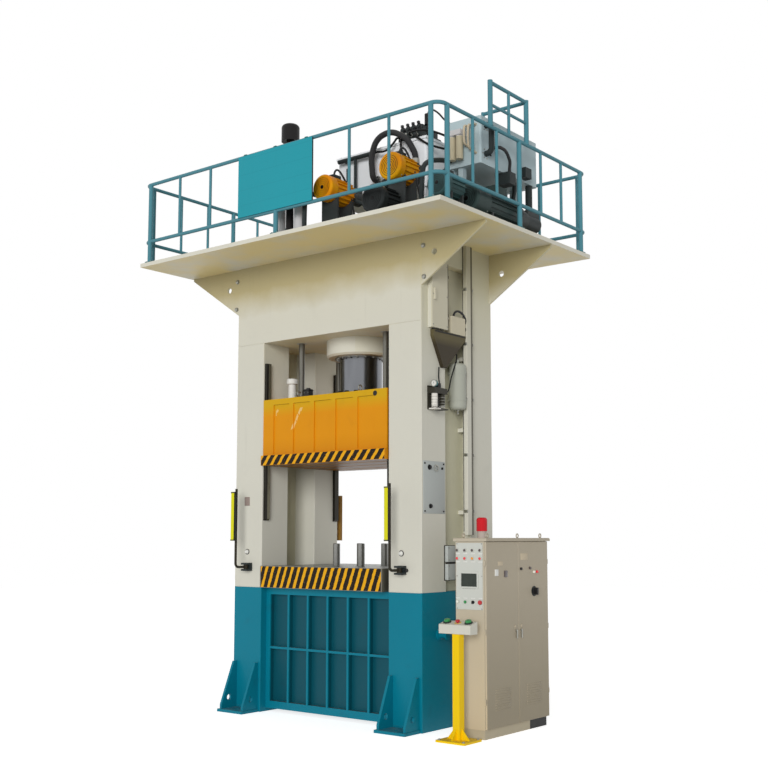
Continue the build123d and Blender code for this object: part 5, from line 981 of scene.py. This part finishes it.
def make_plant_lines():
    """Stiff suction, drain and pilot pipes and conduits between the motors, the valves and the tanks."""
    tubes(
        "pilot_pipes", "black_steel", 0.012,
        [(1.066, -0.638, 6.165), (1.066, -0.69, 6.165), (1.05, -0.72, 6.1), (0.95, -0.73, 6.02),
         (0.8, -0.73, 6.05), (0.7, -0.715, 6.05)],
        [(1.138, -0.638, 6.165), (1.138, -0.7, 6.165), (1.14, -0.73, 6.05), (1.16, -0.72, 5.95),
         (1.2, -0.66, 5.9)],
        [(1.21, -0.638, 6.165), (1.21, -0.7, 6.17), (1.3, -0.7, 6.18), (1.44, -0.66, 6.17),
         (1.56, -0.6, 6.12), (1.6, -0.49, 6.1)],
        [(1.282, -0.638, 6.165), (1.285, -0.68, 6.15), (1.36, -0.69, 6.08), (1.46, -0.62, 6.0),
         (1.565, -0.49, 5.98)],
    )
    tubes(
        "return_pipes", "dark_paint", 0.022,
        [(1.46, -0.3, 5.9), (1.42, -0.3, 5.9), (1.5, -0.3, 5.9), (1.57, -0.3, 5.9)],
        [(1.9, 0.3, 5.752), (1.9, 0.3, 5.6), (1.85, 0.3, 5.5), (1.7, 0.3, 5.48), (1.55, 0.3, 5.48),
         (1.5, 0.3, 5.55), (1.42, 0.3, 5.65)],
        [(0.505, -0.85, 5.592), (0.62, -0.8, 5.5), (0.75, -0.72, 5.48), (0.8, -0.64, 5.6)],
    )
    tubes(
        "motor_conduits", "hose_rubber", 0.011,
        [(0.505, -1.06, 5.75), (0.505, -1.06, 5.82), (0.53, -1.0, 5.84), (0.6, -0.9, 5.6),
         (0.62, -0.85, 5.3), (0.66, -0.8, 5.15)],
        [(1.31, -0.96, 5.85), (1.31, -0.96, 5.92), (1.36, -0.92, 5.92), (1.45, -0.85, 5.6),
         (1.47, -0.8, 5.3), (1.5, -0.76, 5.15)],
        [(1.905, -0.96, 5.54), (1.905, -0.96, 5.6), (1.87, -0.94, 5.6), (1.78, -0.9, 5.4),
         (1.77, -0.88, 5.15)],
        [(1.955, -0.16, 5.55), (1.9, -0.2, 5.56), (1.82, -0.24, 5.4), (1.78, -0.26, 5.15)],
    )
    tubes(
        "vent_line", "hose_rubber", 0.01,
        [(1.38, -0.56, 6.375), (1.38, -0.56, 6.41), (1.44, -0.57, 6.42), (1.52, -0.56, 6.36),
         (1.56, -0.5, 6.28), (1.6, -0.45, 6.252)],
    )
    base = solid((0.05, 0), (0.05, 0.012), (0.028, 0.014))
    spots = [(0.66, -0.8), (1.5, -0.76), (1.77, -0.88), (1.78, -0.26)]
    flanges = [(base, turned(Z, (x, y, DECK_TOP)), 20) for x, y in spots]
    piece_of(flanges, add_turning, "conduit_deck_flanges", "dark_paint")
    tubes(
        "front_pipes", "dark_paint", 0.026,
        [(0.33, -1.33, 5.15), (0.33, -1.33, 5.5), (0.33, -1.28, 5.56), (0.33, -1.1, 5.56),
         (0.33, -0.75, 5.7), (0.33, -0.65, 5.72)],
        [(0.98, -0.64, 5.7), (0.98, -0.78, 5.7), (0.98, -0.84, 5.62), (0.98, -0.86, 5.4),
         (0.98, -0.86, 5.15)],
        [(1.62, -1.0, 5.15), (1.62, -1.0, 5.6), (1.62, -0.92, 5.72), (1.62, -0.7, 5.8), (1.62, -0.49, 5.84)],
    )


# Fittings of the deck and the bed


def make_railing_feet():
    """Flanges with bolts under the posts that stand on the deck, dark edge and clips of the board."""
    flanges, screws = bmesh.new(), bmesh.new()
    posts = [(x, y) for x in (-2.05, 0, 2.05) for y in (-1.42, 1.42)]
    posts += [(x, y) for x in (-2.15, 2.15) for y in (-1.294, 0, 1.294)]
    half, thick, step = 0.055, 0.01, 0.038
    deck_x, deck_y, screw_x, screw_y = 2.179, 1.449, 2.17, 1.438
    for x, y in posts:
        low = (max(x - half, -deck_x), max(y - half, -deck_y), DECK_TOP)
        high = (min(x + half, deck_x), min(y + half, deck_y), DECK_TOP + thick)
        add_block(flanges, low, high, 0.002)
        for sx, sy in CORNERS:
            spot = (x + sx * step, min(max(y + sy * step, -screw_y), screw_y), DECK_TOP + thick)
            if abs(spot[0]) < screw_x:
                add_bolt(screws, spot, Z, 0.008)
    finish_piece(flanges, "railing_foot_flanges", "flange_teal")
    finish_piece(screws, "railing_foot_bolts", "zinc")
    blocks("board_dark_edge", "shadow_gap", 0.002, ((0.541, -1.4515, 5.4), (0.549, -1.4405, 6.07)))
    clips = [((x - 0.02, -1.449, 6.045), (x + 0.02, -1.395, 6.094)) for x in (-0.45, 0.0, 0.45)]
    blocks("board_clips", "flange_teal", 0.004, *clips)


def make_bed_fittings():
    """Weld beads at the feet, weld seams of the columns, transport lugs and the earth bolt."""
    beads, seams = [], []
    for sx, sy in CORNERS:
        y = sy * 0.653
        for x in (0.968, 1.302):
            beads.append([(sx * x, y, z) for z in (0.05, 0.28, 0.52)])
        beads.append([(sx * x, y, 0.043) for x in (0.945, 1.135, 1.325)])
        for z in (1.381, 4.17):
            seams.append([(sx * x, sy * 0.651, z) for x in (0.93, 1.13, 1.34)])
    tubes("foot_weld_beads", "teal_paint", 0.005, *beads)
    tubes("column_weld_seams", "cream_paint", 0.0035, *seams)
    bolts("earth_bolt", "zinc", ((1.35, 0.55, 0.25), X, 0.012))
    lug = solid(
        (0.06, 0), (0.06, 0.012), (0.035, 0.02), (0.035, 0.09), (0.052, 0.096), (0.052, 0.115), top=0.12,
    )
    lugs = [(lug, turned(sx * X, (sx * 1.35, y, 0.95)), 28) for y in (-0.35, 0.35) for sx in (-1, 1)]
    piece_of(lugs, add_turning, "bed_transport_lugs", "teal_paint")


def make_curtain_fittings():
    """Lens strips, end caps and clamp knobs of the light curtains."""
    knob = solid((0.016, 0), (0.018, 0.004), (0.018, 0.022), (0.013, 0.028))
    for side, sx in (("left", -1), ("right", 1)):
        body, middle = f"curtain_{side}", sx * 1.11
        low, high = sorted((sx * 1.0855, sx * 1.084))
        strip = ((low, -0.918, 1.93), (high, -0.896, 2.42))
        blocks(f"curtain_window_{side}", "screen", 0.0, strip, body=body)
        caps = [((middle - 0.0285, -0.9305, z), (middle + 0.0285, -0.8835, z + 0.016)) for z in (1.9, 2.434)]
        blocks(f"curtain_caps_{side}", "black_plastic", 0.003, *caps, body=body)
        spot = (sx * 1.155, -0.668, 1.605)
        disc_piece(f"curtain_clamp_knob_{side}", "black_plastic", spot, sx * X, knob, 20)


def make_sensor_fittings():
    lip = ((-0.559, -0.369, 3.612), (-0.475, -0.285, 3.62))
    blocks("sensor_cover_lip", "black_steel", 0.002, lip, body="slide")
    screws = [((-0.517 + sx * 0.03, -0.367, 3.56 + sy * 0.03), -Y, 0.004) for sx, sy in CORNERS]
    bolts("sensor_screws", "zinc", *screws, body="slide")


make_press_bolts()
make_slide_fittings()
make_column_fittings()
make_side_lines()
make_service_unit_fittings()
make_panel_fittings()
make_door_fittings()
make_stand_fittings()
make_motor_fittings()
make_tank_fittings()
make_valve_fittings()
make_plant_lines()
make_railing_feet()
make_bed_fittings()
make_curtain_fittings()
make_sensor_fittings()


# Studio


def make_floor():
    """Pale floor that keeps the shadow, looks nearly white to the camera and gives a little bounce."""
    bpy.ops.mesh.primitive_plane_add(size=60, location=(0, 0, 0))
    floor = bpy.context.object
    floor.name = "studio_floor"
    f = Finish("studio_floor_paint")
    fleck = f.noise(0.5, 3) * 0.02 + 0.83
    shade = f.add("BsdfDiffuse", sockets={"Color": f.mix(fleck, BLACK, WHITE)})
    lift, bounce = 0.6, 0.14
    glow = f.add("Emission", sockets={"Color": WHITE, "Strength": f.seen() * lift + bounce})
    f.end(f.add("AddShader", sockets={0: shade, 1: glow}), "Material")
    floor.data.materials.append(f.material)


def make_world():
    """Even grey light all round, seen as white by the camera and in reflections."""
    world = bpy.data.worlds.new("studio")
    bpy.context.scene.world = world
    world.use_nodes = True
    sky = Nodes(world.node_tree)
    soft = sky.add("Background", sockets={"Color": (0.30, 0.30, 0.30, 1)})
    white = sky.add("Background", sockets={"Color": WHITE})
    sky.end(sky.add("MixShader", sockets={0: sky.seen(), 1: soft, 2: white}), "World")


def make_key_light():
    """Broad soft key from the right of the front, low; bare metal mirrors the studio instead of the lamp."""
    lamp = bpy.data.lights.new("key", "SUN")
    lamp.energy = 1.95
    lamp.angle = math.radians(26)
    key = bpy.data.objects.new("key", lamp)
    key.visible_glossy = False
    key.rotation_euler = Vector((0.46, -0.87, 0.17)).to_track_quat("Z", "Y").to_euler()
    bpy.context.scene.collection.objects.link(key)


def make_camera():
    """The photograph's viewpoint, fitted to the corners of the frame and the deck."""
    lens = bpy.data.cameras.new("photograph_view")
    lens.sensor_width = 36
    lens.lens = 52.83
    lens.shift_x = -0.01589
    lens.shift_y = 0.04651
    lens.clip_end = 200
    camera = bpy.data.objects.new("photograph_view", lens)
    camera.location = (8.2333, -9.7989, 1.9383)
    tilt_up, turn = 0.1040, 0.6675
    camera.rotation_euler = (math.pi / 2 + tilt_up, 0, turn)
    bpy.context.scene.collection.objects.link(camera)
    bpy.context.scene.camera = camera


make_camera()
make_floor()
make_world()
make_key_light()
bpy.context.scene.view_settings.view_transform = "Standard"
